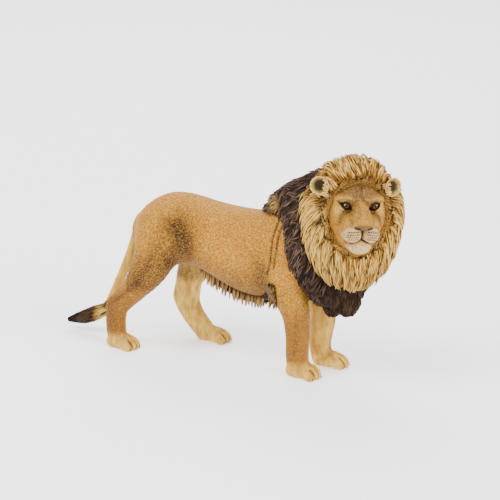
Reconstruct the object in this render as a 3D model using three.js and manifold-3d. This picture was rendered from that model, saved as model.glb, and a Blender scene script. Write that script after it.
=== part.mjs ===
// A standing toy lion, cast in solid vinyl as separate pieces that plug together and are glued.
// Millimetres. +X is forward, +Y is the animal's left and +Z is up. The head turns to its right.
import * as THREE from "three";
import { mergeVertices } from "three/addons/utils/BufferGeometryUtils.js";
import Module from "manifold-3d";

// Driving sizes of the trunk
const backHeight = 53.8; // floor to the top of the rump
const trunkLength = 74; // rump to chest
const trunkDepth = 27.5; // back to belly
const trunkWidth = 23.6; // across the ribs
const rumpBehind = 40; // the rump lies this far behind the middle of the stance

// Legs: where each limb leaves the trunk, how far out it stands and how thick it is
const hipInset = 14; // rump to the hip joint, along the trunk
const hipDrop = 9.8; // top of the rump to the hip joint
const hindStance = 10; // middle of the body to the middle of a hind leg
const hindThickness = 9.6; // half of the thigh's depth from front to back
const shoulderInset = 12.5; // chest to the shoulder joint
const shoulderDrop = 11.8; // top of the rump to the shoulder joint
const foreStance = 7; // middle of the body to the middle of a foreleg
const foreThickness = 7.6; // half of the shoulder's depth from front to back

// Paws
const pawLength = 10.3;
const pawWidth = 8.6;
const pawHeight = 5.8;
const toeRadius = 1.75;
const soleTrim = 0.5; // the casting is ground flat by this much under each paw

// Neck and the dark mane over it
const neckInset = 15; // chest to the rear end of the mane's middle line
const neckDrop = 16.3; // top of the rump to the rear end of the mane's middle line
const maneLean = THREE.MathUtils.degToRad(34); // the rear of the mane leans back by this much
const darkManeTall = 41; // along the slope, from the crest to the chest
const darkManeWide = 32;
const darkLockDepth = 0.5; // how far the carved locks stand out
const neckRadius = 7.5; // the trunk's stub inside the mane
const bibAhead = 3; // chest to the middle of the hair that hangs below it
const bibAside = 1.5;
const bibLength = 13; // from its root inside the mane to its lowest tip
const bibWide = 18;
const bibDeep = 13;

// Head and the light ruff around the face
const headAhead = 7.4; // chest to the middle of the ruff
const headAside = 4.4; // the middle of the body to the middle of the ruff
const headDrop = 1.8; // top of the rump to the middle of the ruff
const headTurn = THREE.MathUtils.degToRad(51); // to the animal's right
const ruffWidth = 32;
const ruffHeight = 43;
const ruffAside = 0.5; // the ruff sits this far to the right of the face
const ruffDeep = 17; // from its back to the lip around the face
const ruffLockDepth = 0.5;
const skullLift = 6; // the skull's middle above the ruff's middle
const faceRoll = THREE.MathUtils.degToRad(4); // the face is tipped this much to its left
const rollRise = 5; // the face tips about a line this far above the ruff's middle
const faceWidth = 19.6;
const faceHeight = 21.2;
const noseReach = 17; // the ruff's middle to the tip of the nose
const muzzleWidth = 11.4; // across the two whisker pads
const padHeight = 5.3;
const noseWidth = 4.7;
const chinDrop = 9.1; // the skull's middle to the chin's middle
const jawWidth = 13.2;
const jawDepth = 9.6;
const eyeRadius = 1.75;
const eyeOut = 4.35; // the middle of the face to the middle of an eye
const browRadius = 0.9;
const earRadius = 2.8;
const earThickness = 1.7;
const earOut = 11.4; // the middle of the head to the middle of an ear
const earLift = 13.2;
const earReach = 3;

// Tail and tuft
const tailInset = 3.5; // rump to the root of the tail, along the trunk
const tailDrop = 8.3; // top of the rump to the root of the tail
const tailLength = 33.9; // height that the tail comes down
const tailTrail = 13.3; // how far it trails behind its root
const tailAside = 2.3;
const tailRadius = 2.2;
const tuftLength = 16.3;
const tuftDrop = 7.9;
const tuftRadius = 2.35;
const tailTip = 3; // length of the tail inside the tuft

// Fringe of long hair under the belly, and the lock behind the right elbow
const fringeLength = 26;
const fringeInset = 10.1; // the shoulder joint to the front end of the fringe
const fringeDepth = 8;
const fringeThickness = 4.6;
const elbowLockLength = 6.5; // it runs forward and up from the fringe's front end
const elbowLockRadius = 2.5;

// Joints between the castings
const gap = 0.3; // clearance for the glue, all round
const pegRadius = 1.6;
const pegLength = 4;

// Modelling
const mergeDistance = 1e-4;
const overrun = 60; // reach of a cutting block past what it cuts

const wasm = await Module();
wasm.setup();

const forward = new THREE.Vector3(1, 0, 0);
const left = new THREE.Vector3(0, 1, 0);
const up = new THREE.Vector3(0, 0, 1);
const chestAhead = trunkLength - rumpBehind;

// Solids

function solidOf(geometry, matrix = new THREE.Matrix4()) {
  const bare = geometry.clone().applyMatrix4(matrix);
  bare.deleteAttribute("normal");
  bare.deleteAttribute("uv");
  const merged = mergeVertices(bare, mergeDistance);
  return new wasm.Manifold(
    new wasm.Mesh({
      numProp: 3,
      vertProperties: merged.attributes.position.array,
      triVerts: new Uint32Array(merged.index.array),
    }),
  );
}

function geometryOf(solid) {
  const mesh = solid.getMesh();
  const geometry = new THREE.BufferGeometry();
  geometry.setAttribute("position", new THREE.BufferAttribute(new Float32Array(mesh.vertProperties), 3));
  geometry.setIndex(new THREE.BufferAttribute(new Uint32Array(mesh.triVerts), 1));
  geometry.computeVertexNormals();
  return geometry;
}

function join(solids) {
  return solids.reduce((whole, next) => whole.add(next));
}

// The largest body of a solid: slivers left by a cut fall away as flash would.
function largest(solid) {
  return solid.decompose().reduce((best, next) => (next.volume() > best.volume() ? next : best));
}

function anglesOf(sides) {
  return Array.from({ length: sides }, (_, k) => (2 * Math.PI * k) / sides);
}

// A closed solid over rings of points, each with the same number of them, and a point at either end.
function closed(rings, start, end) {
  const sides = rings[0].length;
  const points = [...rings.flat(), start, end];
  const startIndex = points.length - 2;
  const lastRing = startIndex - sides;
  const faces = [];
  for (let k = 0; k < sides; k++) {
    const next = (k + 1) % sides;
    faces.push(startIndex, next, k);
    faces.push(startIndex + 1, lastRing + k, lastRing + next);
    for (let a = 0; a < lastRing; a += sides) {
      const b = a + sides;
      faces.push(a + k, a + next, b + next, a + k, b + next, b + k);
    }
  }
  const geometry = new THREE.BufferGeometry().setFromPoints(points);
  geometry.setIndex(faces);
  return solidOf(geometry);
}

// A closed skin through oval sections. Each station is { at, wide, deep }: wide is the half size along
// `side`, deep the half size square to it. Centres and sizes follow one smooth curve, and the two ends
// are domed. The sections turn with the curve, or stand square to `axis`, or to each station's `facing`.
// `locks` is a number of ridges around the section, `pinch` in a station draws its upper half in, and
// `grow` makes a larger copy, for clearance.
function loft(stations, options) {
  const { side = left, axis, sides, rings, grow = 0, locks = 0, lockDepth = 0, domeShare = 0.5 } = options;
  const centres = new THREE.CatmullRomCurve3(stations.map((s) => s.at));
  const sizes = new THREE.CatmullRomCurve3(stations.map((s) => new THREE.Vector3(s.wide, s.deep, s.pinch ?? 0)));
  const found = [];
  const facings = stations[0].facing && new THREE.CatmullRomCurve3(stations.map((s) => s.facing));
  const tangentAt = (share) => {
    if (facings) return facings.getPoint(share).normalize();
    return axis ?? centres.getTangent(share);
  };
  const ringAt = (share, scale, push) => {
    const centre = centres.getPoint(share);
    const tangent = tangentAt(share);
    const across = side.clone().addScaledVector(tangent, -side.dot(tangent)).normalize();
    const over = new THREE.Vector3().crossVectors(tangent, across);
    const size = sizes.getPoint(share);
    centre.addScaledVector(tangent, push);
    const ring = anglesOf(sides).map((angle) => {
      const ridge = lockDepth * Math.cos(locks * angle) + grow;
      const narrow = 1 - size.z * THREE.MathUtils.smoothstep(Math.sin(angle), 0, 3 / 5);
      return centre
        .clone()
        .addScaledVector(across, Math.cos(angle) * (size.x * narrow + ridge) * scale)
        .addScaledVector(over, Math.sin(angle) * (size.y + ridge) * scale);
    });
    found.push(ring);
  };
  const domeShares = [
    [0.55, 0.84],
    [0.87, 0.5],
  ];
  const first = sizes.getPoint(0);
  const last = sizes.getPoint(1);
  const firstDome = Math.min(first.x, first.y) * domeShare + grow;
  const lastDome = Math.min(last.x, last.y) * domeShare + grow;
  for (const [scale, push] of domeShares) ringAt(0, scale, -firstDome * push);
  for (let i = 0; i <= rings; i++) ringAt(i / rings, 1, 0);
  for (const [scale, push] of [...domeShares].reverse()) ringAt(1, scale, lastDome * push);
  const start = centres.getPoint(0).addScaledVector(tangentAt(0), -firstDome);
  const end = centres.getPoint(1).addScaledVector(tangentAt(1), lastDome);
  return closed(found, start, end);
}

// A round peg from its free tip to a point inside the piece that carries it.
function peg(tip, base, radius, grow = 0, sides = 12) {
  const along = base.clone().sub(tip).normalize();
  const start = tip.clone().addScaledVector(along, -grow);
  const turn = new THREE.Quaternion().setFromUnitVectors(left, along);
  const middle = start.clone().add(base).multiplyScalar(1 / 2);
  const matrix = new THREE.Matrix4().compose(middle, turn, new THREE.Vector3(1, 1, 1));
  const shape = new THREE.CylinderGeometry(radius + grow, radius + grow, start.distanceTo(base), sides);
  return solidOf(shape, matrix);
}

// A ball with its own half size along each of three axes.
function ball(at, axes, halfSizes, sides = 12) {
  const spokes = axes.map((axis, i) => axis.clone().multiplyScalar(halfSizes[i]));
  const matrix = new THREE.Matrix4().makeBasis(...spokes).setPosition(at);
  return solidOf(new THREE.SphereGeometry(1, sides, (sides * 2) / 3), matrix);
}

// Everything on the far side of a plane.
function beyond(point, normal) {
  const turn = new THREE.Quaternion().setFromUnitVectors(up, normal);
  const middle = point.clone().addScaledVector(normal, overrun);
  const matrix = new THREE.Matrix4().compose(middle, turn, new THREE.Vector3(1, 1, 1));
  return solidOf(new THREE.BoxGeometry(2 * overrun, 2 * overrun, 2 * overrun), matrix);
}

// Trunk

// Along the trunk, then down from the back to the top line and to the belly line, then the width
const trunkShares = [
  [0.008, 0.39, 0.65, 0.28],
  [0.024, 0.34, 0.71, 0.42],
  [0.068, 0.206, 0.795, 0.64],
  [0.122, 0.095, 0.847, 0.79],
  [0.19, 0.015, 0.858, 0.89],
  [0.27, 0, 0.855, 0.88],
  [0.351, 0.02, 0.873, 0.86],
  [0.405, 0.045, 0.927, 0.88],
  [0.486, 0.072, 1.014, 0.94],
  [0.568, 0.083, 1.083, 0.985],
  [0.649, 0.08, 1.108, 1.01],
  [0.716, 0.062, 1.069, 1],
  [0.797, 0.008, 0.982, 0.97],
  [0.892, -0.03, 0.92, 0.88],
  [0.96, -0.005, 0.82, 0.69],
  [1, 0.1, 0.68, 0.42],
];

function trunk(grow = 0) {
  const rump = new THREE.Vector3(-rumpBehind, 0, backHeight);
  const stations = trunkShares.map(([along, top, bottom, width]) => ({
    at: rump
      .clone()
      .addScaledVector(forward, trunkLength * along)
      .addScaledVector(up, (-trunkDepth * (top + bottom)) / 2),
    wide: (trunkWidth / 2) * width,
    deep: (trunkDepth * (bottom - top)) / 2,
  }));
  return loft(stations, { axis: forward, grow, sides: 20, rings: 18, domeShare: 0.2 });
}

// Legs

// Forward and up as shares of the joint's height, out as a share of the stance, then the half sizes
// across and from front to back as shares of the limb's thickness
const rightHindShares = [
  [0, 0.65, 1, 0.57, 1],
  [-0.02, 0.84, 0.84, 0.57, 0.92],
  [-0.085, 0.94, 0.655, 0.52, 0.68],
  [-0.195, 0.98, 0.495, 0.4, 0.455],
  [-0.325, 1, 0.36, 0.335, 0.385],
  [-0.361, 1, 0.268, 0.315, 0.375],
  [-0.366, 1, 0.164, 0.31, 0.365],
  [-0.355, 1.02, 0.08, 0.32, 0.345],
];
const leftHindShares = [
  [0.045, 0.65, 1, 0.57, 1],
  [0.08, 0.84, 0.82, 0.55, 0.9],
  [0.1, 0.91, 0.66, 0.49, 0.73],
  [0.032, 0.94, 0.5, 0.405, 0.5],
  [0.002, 0.96, 0.332, 0.35, 0.48],
  [0.036, 0.97, 0.232, 0.325, 0.43],
  [0.093, 0.99, 0.15, 0.32, 0.395],
  [0.145, 1.01, 0.091, 0.325, 0.365],
];
const rightForeShares = [
  [0, 0.86, 1, 0.64, 1],
  [-0.035, 1.05, 0.79, 0.68, 0.88],
  [0.005, 1.06, 0.645, 0.63, 0.74],
  [0.06, 1.03, 0.5, 0.57, 0.62],
  [0.067, 1, 0.335, 0.5, 0.55],
  [0.064, 1, 0.19, 0.49, 0.52],
  [0.069, 1, 0.095, 0.49, 0.5],
];
const leftForeShares = [
  [0, 0.86, 1, 0.64, 1],
  [0, 1.05, 0.79, 0.66, 0.86],
  [0.045, 1.03, 0.645, 0.61, 0.72],
  [0.115, 1, 0.49, 0.55, 0.6],
  [0.117, 0.97, 0.335, 0.49, 0.53],
  [0.1, 0.94, 0.19, 0.46, 0.49],
  [0.115, 0.93, 0.095, 0.47, 0.49],
];

// A paw sits ahead of its joint by a share of the joint's height and turns out by a share of half a turn.
// The seat is where the leg casting meets the body: its place down the limb, as a share.
const hindSeatShare = 0.36;
const foreSeatShare = 0.42;
const legs = {
  right_hind_leg: { shares: rightHindShares, side: -1, hind: true, pawShare: -0.31, turnShare: 0 },
  left_hind_leg: { shares: leftHindShares, side: 1, hind: true, pawShare: 0.235, turnShare: 0.03 },
  right_foreleg: { shares: rightForeShares, side: -1, hind: false, pawShare: 0.115, turnShare: 0 },
  left_foreleg: { shares: leftForeShares, side: 1, hind: false, pawShare: 0.198, turnShare: 0.05 },
};

const hip = {
  x: hipInset - rumpBehind,
  height: backHeight - hipDrop,
  stance: hindStance,
  thickness: hindThickness,
  seatShare: hindSeatShare,
};
const shoulder = {
  x: chestAhead - shoulderInset,
  height: backHeight - shoulderDrop,
  stance: foreStance,
  thickness: foreThickness,
  seatShare: foreSeatShare,
};

function limbFacts({ hind }) {
  return hind ? hip : shoulder;
}

function limbStations(leg) {
  const { x, height, stance, thickness } = limbFacts(leg);
  return leg.shares.map(([ahead, out, rise, wide, deep]) => ({
    at: new THREE.Vector3(x + height * ahead, leg.side * stance * out, height * rise),
    wide: thickness * wide,
    deep: thickness * deep,
  }));
}

// The whole limb, from inside the trunk down to the paw
function limb(leg, grow = 0) {
  return loft(limbStations(leg), { grow, sides: 12, rings: 11 });
}

// A broad pad with four toes across its front
function paw(leg, grow = 0) {
  const { x, height, stance } = limbFacts(leg);
  const outShares = leg.shares.at(-1)[1];
  const turn = new THREE.Quaternion().setFromAxisAngle(up, leg.side * Math.PI * leg.turnShare);
  const ahead = forward.clone().applyQuaternion(turn);
  const aside = left.clone().applyQuaternion(turn);
  const middle = new THREE.Vector3(x + height * leg.pawShare, leg.side * stance * outShares, 0);
  const place = (alongShare, acrossShare, riseShare) =>
    middle
      .clone()
      .addScaledVector(ahead, pawLength * alongShare)
      .addScaledVector(aside, pawWidth * acrossShare)
      .addScaledVector(up, pawHeight * riseShare);
  // Along the paw, the height of its middle, then the half width and half height
  const padShares = [
    [-0.42, 0.36, 0.3, 0.36],
    [-0.2, 0.44, 0.4, 0.44],
    [0.05, 0.47, 0.45, 0.5],
    [0.25, 0.4, 0.43, 0.42],
    [0.36, 0.3, 0.38, 0.3],
  ];
  const pad = loft(
    padShares.map(([along, rise, wide, deep]) => ({
      at: place(along, 0, rise),
      wide: pawWidth * wide,
      deep: pawHeight * deep,
    })),
    { side: aside, grow, sides: 12, rings: 5 },
  );
  // Along, across and up to the middle of each toe
  const toeShares = [
    [0.27, -0.36, 0.3],
    [0.36, -0.13, 0.33],
    [0.36, 0.13, 0.33],
    [0.27, 0.36, 0.3],
  ];
  const toeStretchShares = [1.2, 0.95, 1.15];
  const toes = toeShares.map(([along, across, rise]) =>
    ball(
      place(along, across, rise),
      [ahead, aside, up],
      toeStretchShares.map((share) => toeRadius * share + grow),
      8,
    ),
  );
  return join([pad, ...toes]);
}

function seatOf(leg) {
  const curve = new THREE.CatmullRomCurve3(limbStations(leg).map((s) => s.at));
  const { seatShare } = limbFacts(leg);
  return { at: curve.getPoint(seatShare), down: curve.getTangent(seatShare) };
}

// The leg casting: all of the limb below its seat, ground flat at the floor, with a peg into the body
function legPiece(leg, grow = 0) {
  const { at, down } = seatOf(leg);
  const start = at.clone().addScaledVector(down, -grow);
  const lower = limb(leg, grow).intersect(beyond(start, down));
  const tip = at.clone().addScaledVector(down, -pegLength);
  const base = at.clone().addScaledVector(down, pegLength);
  const floor = new THREE.Vector3(0, 0, soleTrim);
  const shape = join([lower, paw(leg, grow), peg(tip, base, pegRadius, grow)]);
  return grow ? shape : largest(shape.intersect(beyond(floor, up)));
}

// Neck and mane

const neckBase = new THREE.Vector3(chestAhead - neckInset, 0, backHeight - neckDrop);
const headMiddle = new THREE.Vector3(chestAhead + headAhead, -headAside, backHeight - headDrop);
const headForward = forward.clone().applyAxisAngle(up, -headTurn);
const headLeft = left.clone().applyAxisAngle(up, -headTurn);

// A point in the head's own directions, from the middle of the ruff
function onHead(ahead, aside, rise) {
  return headMiddle
    .clone()
    .addScaledVector(headForward, ahead)
    .addScaledVector(headLeft, aside)
    .addScaledVector(up, rise);
}

function neckStub(grow = 0) {
  const reachShares = [0.1, 0.45, 0.62];
  const stations = reachShares.map((share) => ({
    at: neckBase.clone().lerp(headMiddle, share),
    wide: neckRadius,
    deep: neckRadius,
  }));
  return loft(stations, { grow, sides: 14, rings: 4 });
}

// Along the middle line, how far the section has turned to the head, its half height and half width, then
// how far it is drawn in above its middle
const darkManeShares = [
  [0, 0, 0.84, 0.38, 0.5],
  [0.12, 0.08, 0.89, 0.54, 0.5],
  [0.25, 0.17, 0.95, 0.7, 0.48],
  [0.37, 0.25, 0.985, 0.81, 0.36],
  [0.5, 0.34, 1.015, 0.9, 0.12],
  [0.75, 0.52, 1.02, 0.965, 0],
  [1, 0.7, 0.98, 0.95, 0],
];

function darkMane(grow = 0) {
  const rearFacing = forward.clone().applyAxisAngle(left, -maneLean);
  const front = onHead(-ruffDeep / 6, -ruffAside / 2, -skullLift / 6);
  const stations = darkManeShares.map(([along, turn, tall, wide, pinch]) => ({
    at: neckBase.clone().lerp(front, along),
    facing: rearFacing.clone().lerp(headForward, turn),
    wide: (darkManeWide / 2) * wide,
    deep: (darkManeTall / 2) * tall,
    pinch,
  }));
  return loft(stations, { grow, sides: 44, rings: 10, locks: 22, lockDepth: darkLockDepth, domeShare: 0.1 });
}

// The hair below the chest: down each lock, ahead and aside, then its half width and half depth
const bibRootShares = [
  [0, 0, 0, 1, 1],
  [0.45, 0, 0, 0.94, 0.94],
  [0.72, -0.02, 0, 0.66, 0.7],
];
const bibLockShares = [
  [
    [0.3, -0.2, 0.12, 0.5, 0.5],
    [0.75, -0.24, 0.1, 0.42, 0.42],
    [1, -0.3, 0.1, 0.12, 0.12],
  ],
  [
    [0.3, 0.16, -0.12, 0.5, 0.5],
    [0.66, 0.2, -0.12, 0.42, 0.42],
    [0.9, 0.24, -0.12, 0.12, 0.12],
  ],
];

const bibRoot = new THREE.Vector3(chestAhead + bibAhead, -bibAside, backHeight - (trunkDepth * 3) / 4);

function chestMane(grow = 0) {
  const strand = (shares) =>
    shares.map(([fall, ahead, aside, wide, deep]) => ({
      at: bibRoot.clone().add(new THREE.Vector3(bibDeep * ahead, bibWide * aside, -bibLength * fall)),
      wide: (bibWide / 2) * wide,
      deep: (bibDeep / 2) * deep,
    }));
  const carved = { locks: 10, lockDepth: darkLockDepth };
  const rootLoft = loft(strand(bibRootShares), { ...carved, grow, sides: 20, rings: 4 });
  const tips = bibLockShares.map((shares) => loft(strand(shares), { grow, sides: 8, rings: 4 }));
  return join([rootLoft, ...tips]);
}

// The peg that holds the chest hair up inside the mane
function bibPeg(grow = 0) {
  return peg(
    bibRoot.clone().addScaledVector(up, pegLength),
    bibRoot.clone().addScaledVector(up, -pegLength),
    pegRadius,
    grow,
  );
}

// Rings of the ruff from its back to its root around the face: the middle's place aside and up, the half
// width, the height above the middle and the depth below it, then how far ahead the ring lies at its
// sides, its top and its bottom
const ruffShares = [
  [0.8, 0.047, 0.694, 0.702, 0.828, -0.494, -0.529, -0.353],
  [0.6, 0.07, 0.894, 0.795, 1.023, -0.271, -0.294, -0.094],
  [0.4, 0.093, 1, 0.842, 1.107, -0.024, -0.035, 0.176],
  [0.4, 0.098, 0.957, 0.749, 1.023, 0.2, 0.2, 0.353],
  [0.4, 0.107, 0.85, 0.647, 0.837, 0.341, 0.353, 0.471],
  [0.2, 0.116, 0.718, 0.577, 0.642, 0.394, 0.435, 0.518],
  [0, 0.14, 0.606, 0.451, 0.512, 0.341, 0.388, 0.459],
  [0, 0.14, 0.519, 0.395, 0.437, 0.247, 0.282, 0.324],
];

// A mane ring bowed ahead or back by the square of its rise. The clearance pushes its two ends apart too.
function ruff(grow = 0) {
  const [sides, rings] = [48, 12];
  const lines = anglesOf(sides).map((angle) => {
    const ridge = ruffLockDepth * Math.cos((sides / 2) * angle) + grow;
    const [across, over] = [Math.cos(angle), Math.sin(angle)];
    const places = ruffShares.map(([aside, rise, wide, high, low, ahead, aheadTop, aheadLow], i) => {
      const tall = over > 0 ? high : low;
      const bow = (over > 0 ? aheadTop : aheadLow) - ahead;
      return onHead(
        ruffDeep * (ahead + bow * over ** 2) + grow * ((2 * i) / (ruffShares.length - 1) - 1),
        -ruffAside * aside + ((ruffWidth / 2) * wide + ridge) * across,
        ruffHeight * rise + ((ruffHeight / 2) * tall + ridge) * over,
      );
    });
    return new THREE.CatmullRomCurve3(places);
  });
  const found = Array.from({ length: rings + 1 }, (_, i) => lines.map((line) => line.getPoint(i / rings)));
  const [back, front] = [ruffShares[0], ruffShares.at(-1)];
  return closed(
    found,
    onHead(ruffDeep * back[6] - grow, -ruffAside, ruffHeight * back[1]),
    onHead(ruffDeep * front[5] + grow, 0, ruffHeight * front[1]),
  );
}

// Head

// A place on the face, which is tipped about its line of sight
function onFace(ahead, aside, rise) {
  const across = aside * Math.cos(faceRoll) + (rise - rollRise) * Math.sin(faceRoll);
  const over = (rise - rollRise) * Math.cos(faceRoll) - aside * Math.sin(faceRoll);
  return onHead(ahead, across, rollRise + over);
}

const faceLeft = headLeft.clone().multiplyScalar(Math.cos(faceRoll)).addScaledVector(up, -Math.sin(faceRoll));
const faceUp = up.clone().multiplyScalar(Math.cos(faceRoll)).addScaledVector(headLeft, Math.sin(faceRoll));
const faceAxes = [headForward, faceLeft, faceUp];

// Ahead of the ruff's middle, the rise above the skull's middle, then the half width and half height
const skullShares = [
  [-0.29, 0.01, 0.72, 0.74],
  [-0.176, 0.012, 0.88, 0.89],
  [-0.06, 0.014, 0.96, 0.97],
  [0.06, 0.005, 0.99, 1.01],
  [0.18, -0.02, 0.99, 1.03],
  [0.29, 0.01, 0.95, 0.92],
  [0.38, 0.01, 0.89, 0.83],
  [0.47, -0.05, 0.81, 0.77],
  [0.55, -0.11, 0.7, 0.64],
];
const bridgeShares = [
  [0.41, 0.2, 0.35, 0.28],
  [0.54, 0.125, 0.34, 0.28],
  [0.69, 0.022, 0.34, 0.26],
  [0.79, -0.05, 0.31, 0.18],
];
// Out from the middle, ahead and above the skull's middle, as shares of half the face and of the nose's
// reach, then the half sizes in the same order
const cheekbone = [0.57, 0.235, -0.15, 0.39, 0.3, 0.54];
const cheek = [0.4, 0.494, -0.283, 0.35, 0.245, 0.34];
// Out, ahead and above in the same way, from the inner end of a brow to its outer end
const browShares = [
  [0.12, 0.51, 0.39],
  [0.34, 0.51, 0.46],
  [0.54, 0.465, 0.475],
  [0.68, 0.37, 0.41],
];
const bothSides = [-1, 1];

function head(grow = 0) {
  const rounded = (shares) =>
    shares.map(([along, rise, wide, tall]) => ({
      at: onFace(noseReach * along, 0, skullLift + faceHeight * rise),
      wide: (faceWidth / 2) * wide,
      deep: (faceHeight / 2) * tall,
    }));
  const options = { side: faceLeft, axis: headForward, grow };
  const skull = loft(rounded(skullShares), { ...options, sides: 20, rings: 11 });
  const bridge = loft(rounded(bridgeShares), { ...options, sides: 12, rings: 5, domeShare: 0.3 });
  const form = (out, ahead, rise, [wide, deep, tall], sides = 14) => {
    const halfSizes = [deep + grow, wide + grow, tall + grow];
    return ball(onFace(ahead, out, skullLift + rise), faceAxes, halfSizes, sides);
  };
  const cheekForm = (side, [out, ahead, rise, wide, deep, tall]) => {
    const [half, high] = [faceWidth / 2, faceHeight / 2];
    return form(side * half * out, noseReach * ahead, high * rise, [half * wide, noseReach * deep, high * tall]);
  };
  const padOut = muzzleWidth * 0.24;
  const padRise = -chinDrop * 0.566;
  const noseRise = -chinDrop * 0.264;
  const noseShares = [0.5, 0.31, 0.25];
  const wingShares = [0.25, 0.25, 0.2];
  const forms = [
    form(0, noseReach * 0.61, -chinDrop * 0.46, [muzzleWidth * 0.46, noseReach * 0.22, padHeight * 0.94]),
    form(0, noseReach * 0.68, -chinDrop, [jawWidth * 0.28, noseReach * 0.165, jawDepth * 0.275]),
    form(0, noseReach * 0.353, -chinDrop * 0.82, [jawWidth / 2, noseReach * 0.34, jawDepth / 2]),
    form(0, noseReach * 0.865, noseRise, noseShares.map((share) => noseWidth * share)),
  ];
  for (const side of bothSides) {
    forms.push(
      cheekForm(side, cheekbone),
      cheekForm(side, cheek),
      form(side * padOut, noseReach * 0.735, padRise, [muzzleWidth * 0.26, noseReach * 0.2, padHeight / 2]),
      form(side * noseWidth * 0.47, noseReach * 0.84, noseRise, wingShares.map((share) => noseWidth * share), 10),
    );
    const brow = browShares.map(([out, ahead, rise]) => ({
      at: onFace(noseReach * ahead, (side * faceWidth * out) / 2, skullLift + (faceHeight / 2) * rise),
      wide: browRadius,
      deep: browRadius,
    }));
    forms.push(loft(brow, { side: faceUp, grow, sides: 8, rings: 5 }));
  }
  const face = join([skull, bridge, ...forms]);
  if (grow) return face;
  const eyeAhead = noseReach * 0.468;
  const eyeRise = (faceHeight / 2) * 0.27;
  const socketShares = [1.35, 0.75, 0.9];
  const sockets = bothSides.map((side) =>
    form(side * eyeOut, eyeAhead + eyeRadius * 1.25, eyeRise, socketShares.map((share) => eyeRadius * share)),
  );
  const eyes = bothSides.map((side) => form(side * eyeOut, eyeAhead, eyeRise, faceAxes.map(() => eyeRadius)));
  return join([face.subtract(join(sockets)), ...eyes]);
}

// A dished ear: a flattened ball with its front hollowed, on a peg into the ruff
function ear(side, grow = 0) {
  const at = onFace(earReach, side * earOut - ruffAside, earLift);
  const facing = headForward.clone().addScaledVector(headLeft, (side * 2) / 5).normalize();
  const across = new THREE.Vector3().crossVectors(up, facing);
  const axes = [facing, across, up];
  const shell = ball(at, axes, [earThickness + grow, earRadius + grow, earRadius + grow], 14);
  const whole = shell.add(peg(at.clone().addScaledVector(facing, -pegLength), at, pegRadius, grow));
  if (grow) return whole;
  const hollowShares = [0.8, 0.72, 0.72];
  const halfSizes = [earThickness, earRadius, earRadius].map((size, i) => size * hollowShares[i]);
  return whole.subtract(ball(at.clone().addScaledVector(facing, earThickness), axes, halfSizes, 12));
}

// Tail

// Behind the root and down from it as shares of the trail and length, aside, then the radius
const tailShares = [
  [-0.08, -0.05, 0, 1.05],
  [0.11, 0.15, 0.2, 0.86],
  [0.26, 0.32, 0.42, 0.75],
  [0.46, 0.53, 0.63, 0.7],
  [0.75, 0.79, 0.85, 0.68],
  [1, 1, 1, 0.64],
];

function tailPath() {
  const root = new THREE.Vector3(tailInset - rumpBehind, 0, backHeight - tailDrop);
  return tailShares.map(([trail, fall, aside, radius]) => ({
    at: new THREE.Vector3(root.x - tailTrail * trail, -tailAside * aside, root.z - tailLength * fall),
    wide: tailRadius * radius,
    deep: tailRadius * radius,
  }));
}

// The tuft carries on from the tail's last station: behind it, below it, then the radius
const tuftShares = [
  [0.05, 0.18, 0.75],
  [0.27, 0.43, 0.95],
  [0.53, 0.67, 1],
  [0.78, 0.85, 0.74],
  [0.96, 0.97, 0.25],
];

function tuftPath() {
  const root = tailPath().at(-1).at;
  return tuftShares.map(([trail, fall, radius]) => ({
    at: root
      .clone()
      .addScaledVector(forward, -tuftLength * trail)
      .addScaledVector(up, -tuftDrop * fall),
    wide: tuftRadius * radius,
    deep: tuftRadius * radius,
  }));
}

function tail(grow = 0) {
  return loft(tailPath(), { grow, sides: 10, rings: 12 });
}

// The bare end of the tail that sits in the tuft
function tailEnd(grow = 0) {
  const [from, to] = [0, 1].map((i) => tuftPath()[i].at);
  const along = to.clone().sub(from).normalize();
  const thinShare = 0.55;
  return peg(
    from.clone().addScaledVector(along, tailTip),
    from.clone().addScaledVector(along, -tailTip),
    tailRadius * thinShare * tailShares.at(-1)[3],
    grow,
    10,
  );
}

function tuft(grow = 0) {
  return loft(tuftPath(), { grow, sides: 14, rings: 7, locks: 7, lockDepth: tuftRadius / 14 });
}

// The peg at the tail's root runs up inside the rump.
function tailPeg(grow = 0) {
  const [inside, under, outside] = tailPath().map((station) => station.at);
  return peg(inside.lerp(under, 1 / 2), outside, tailRadius / 2, grow);
}

// Belly fringe

// Back from the front end, down from the belly line, then the half thickness and half depth
const fringeShares = [
  [1, -0.26, 0.3, 0.2],
  [0.9, -0.14, 0.7, 0.375],
  [0.78, -0.01, 0.9, 0.42],
  [0.58, 0.2, 1, 0.46],
  [0.39, 0.34, 1, 0.49],
  [0.25, 0.375, 1, 0.475],
  [0.1, 0.35, 0.9, 0.43],
  [0, 0.29, 0.6, 0.29],
];
// From the fringe's front end forward, aside and up to behind the elbow, then the radius
const elbowLockShares = [
  [-0.3, 0.1, -0.1, 1],
  [0.2, -0.25, 0.1, 0.95],
  [0.5, -0.55, 0.45, 0.88],
  [0.72, -0.8, 1, 0.55],
];

// The keel curves to the animal's right towards its front end.
function onKeel(back, fall) {
  const aside = -(foreStance / 2) * (1 - back) ** 3;
  const height = backHeight - trunkDepth - fringeDepth * fall;
  return new THREE.Vector3(shoulder.x - fringeInset - fringeLength * back, aside, height);
}

function bellyFringe(grow = 0) {
  const keel = fringeShares.map(([back, fall, thick, deep]) => ({
    at: onKeel(back, fall),
    wide: (fringeThickness / 2) * thick,
    deep: fringeDepth * deep,
  }));
  const lockRoot = keel.at(-1).at;
  const lock = elbowLockShares.map(([ahead, out, rise, radius]) => ({
    at: lockRoot.clone().add(new THREE.Vector3(ahead, out, rise).multiplyScalar(elbowLockLength)),
    wide: elbowLockRadius * radius,
    deep: elbowLockRadius * radius,
  }));
  return loft(keel, { grow, sides: 10, rings: 14 }).add(loft(lock, { grow, sides: 10, rings: 5 }));
}

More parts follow.
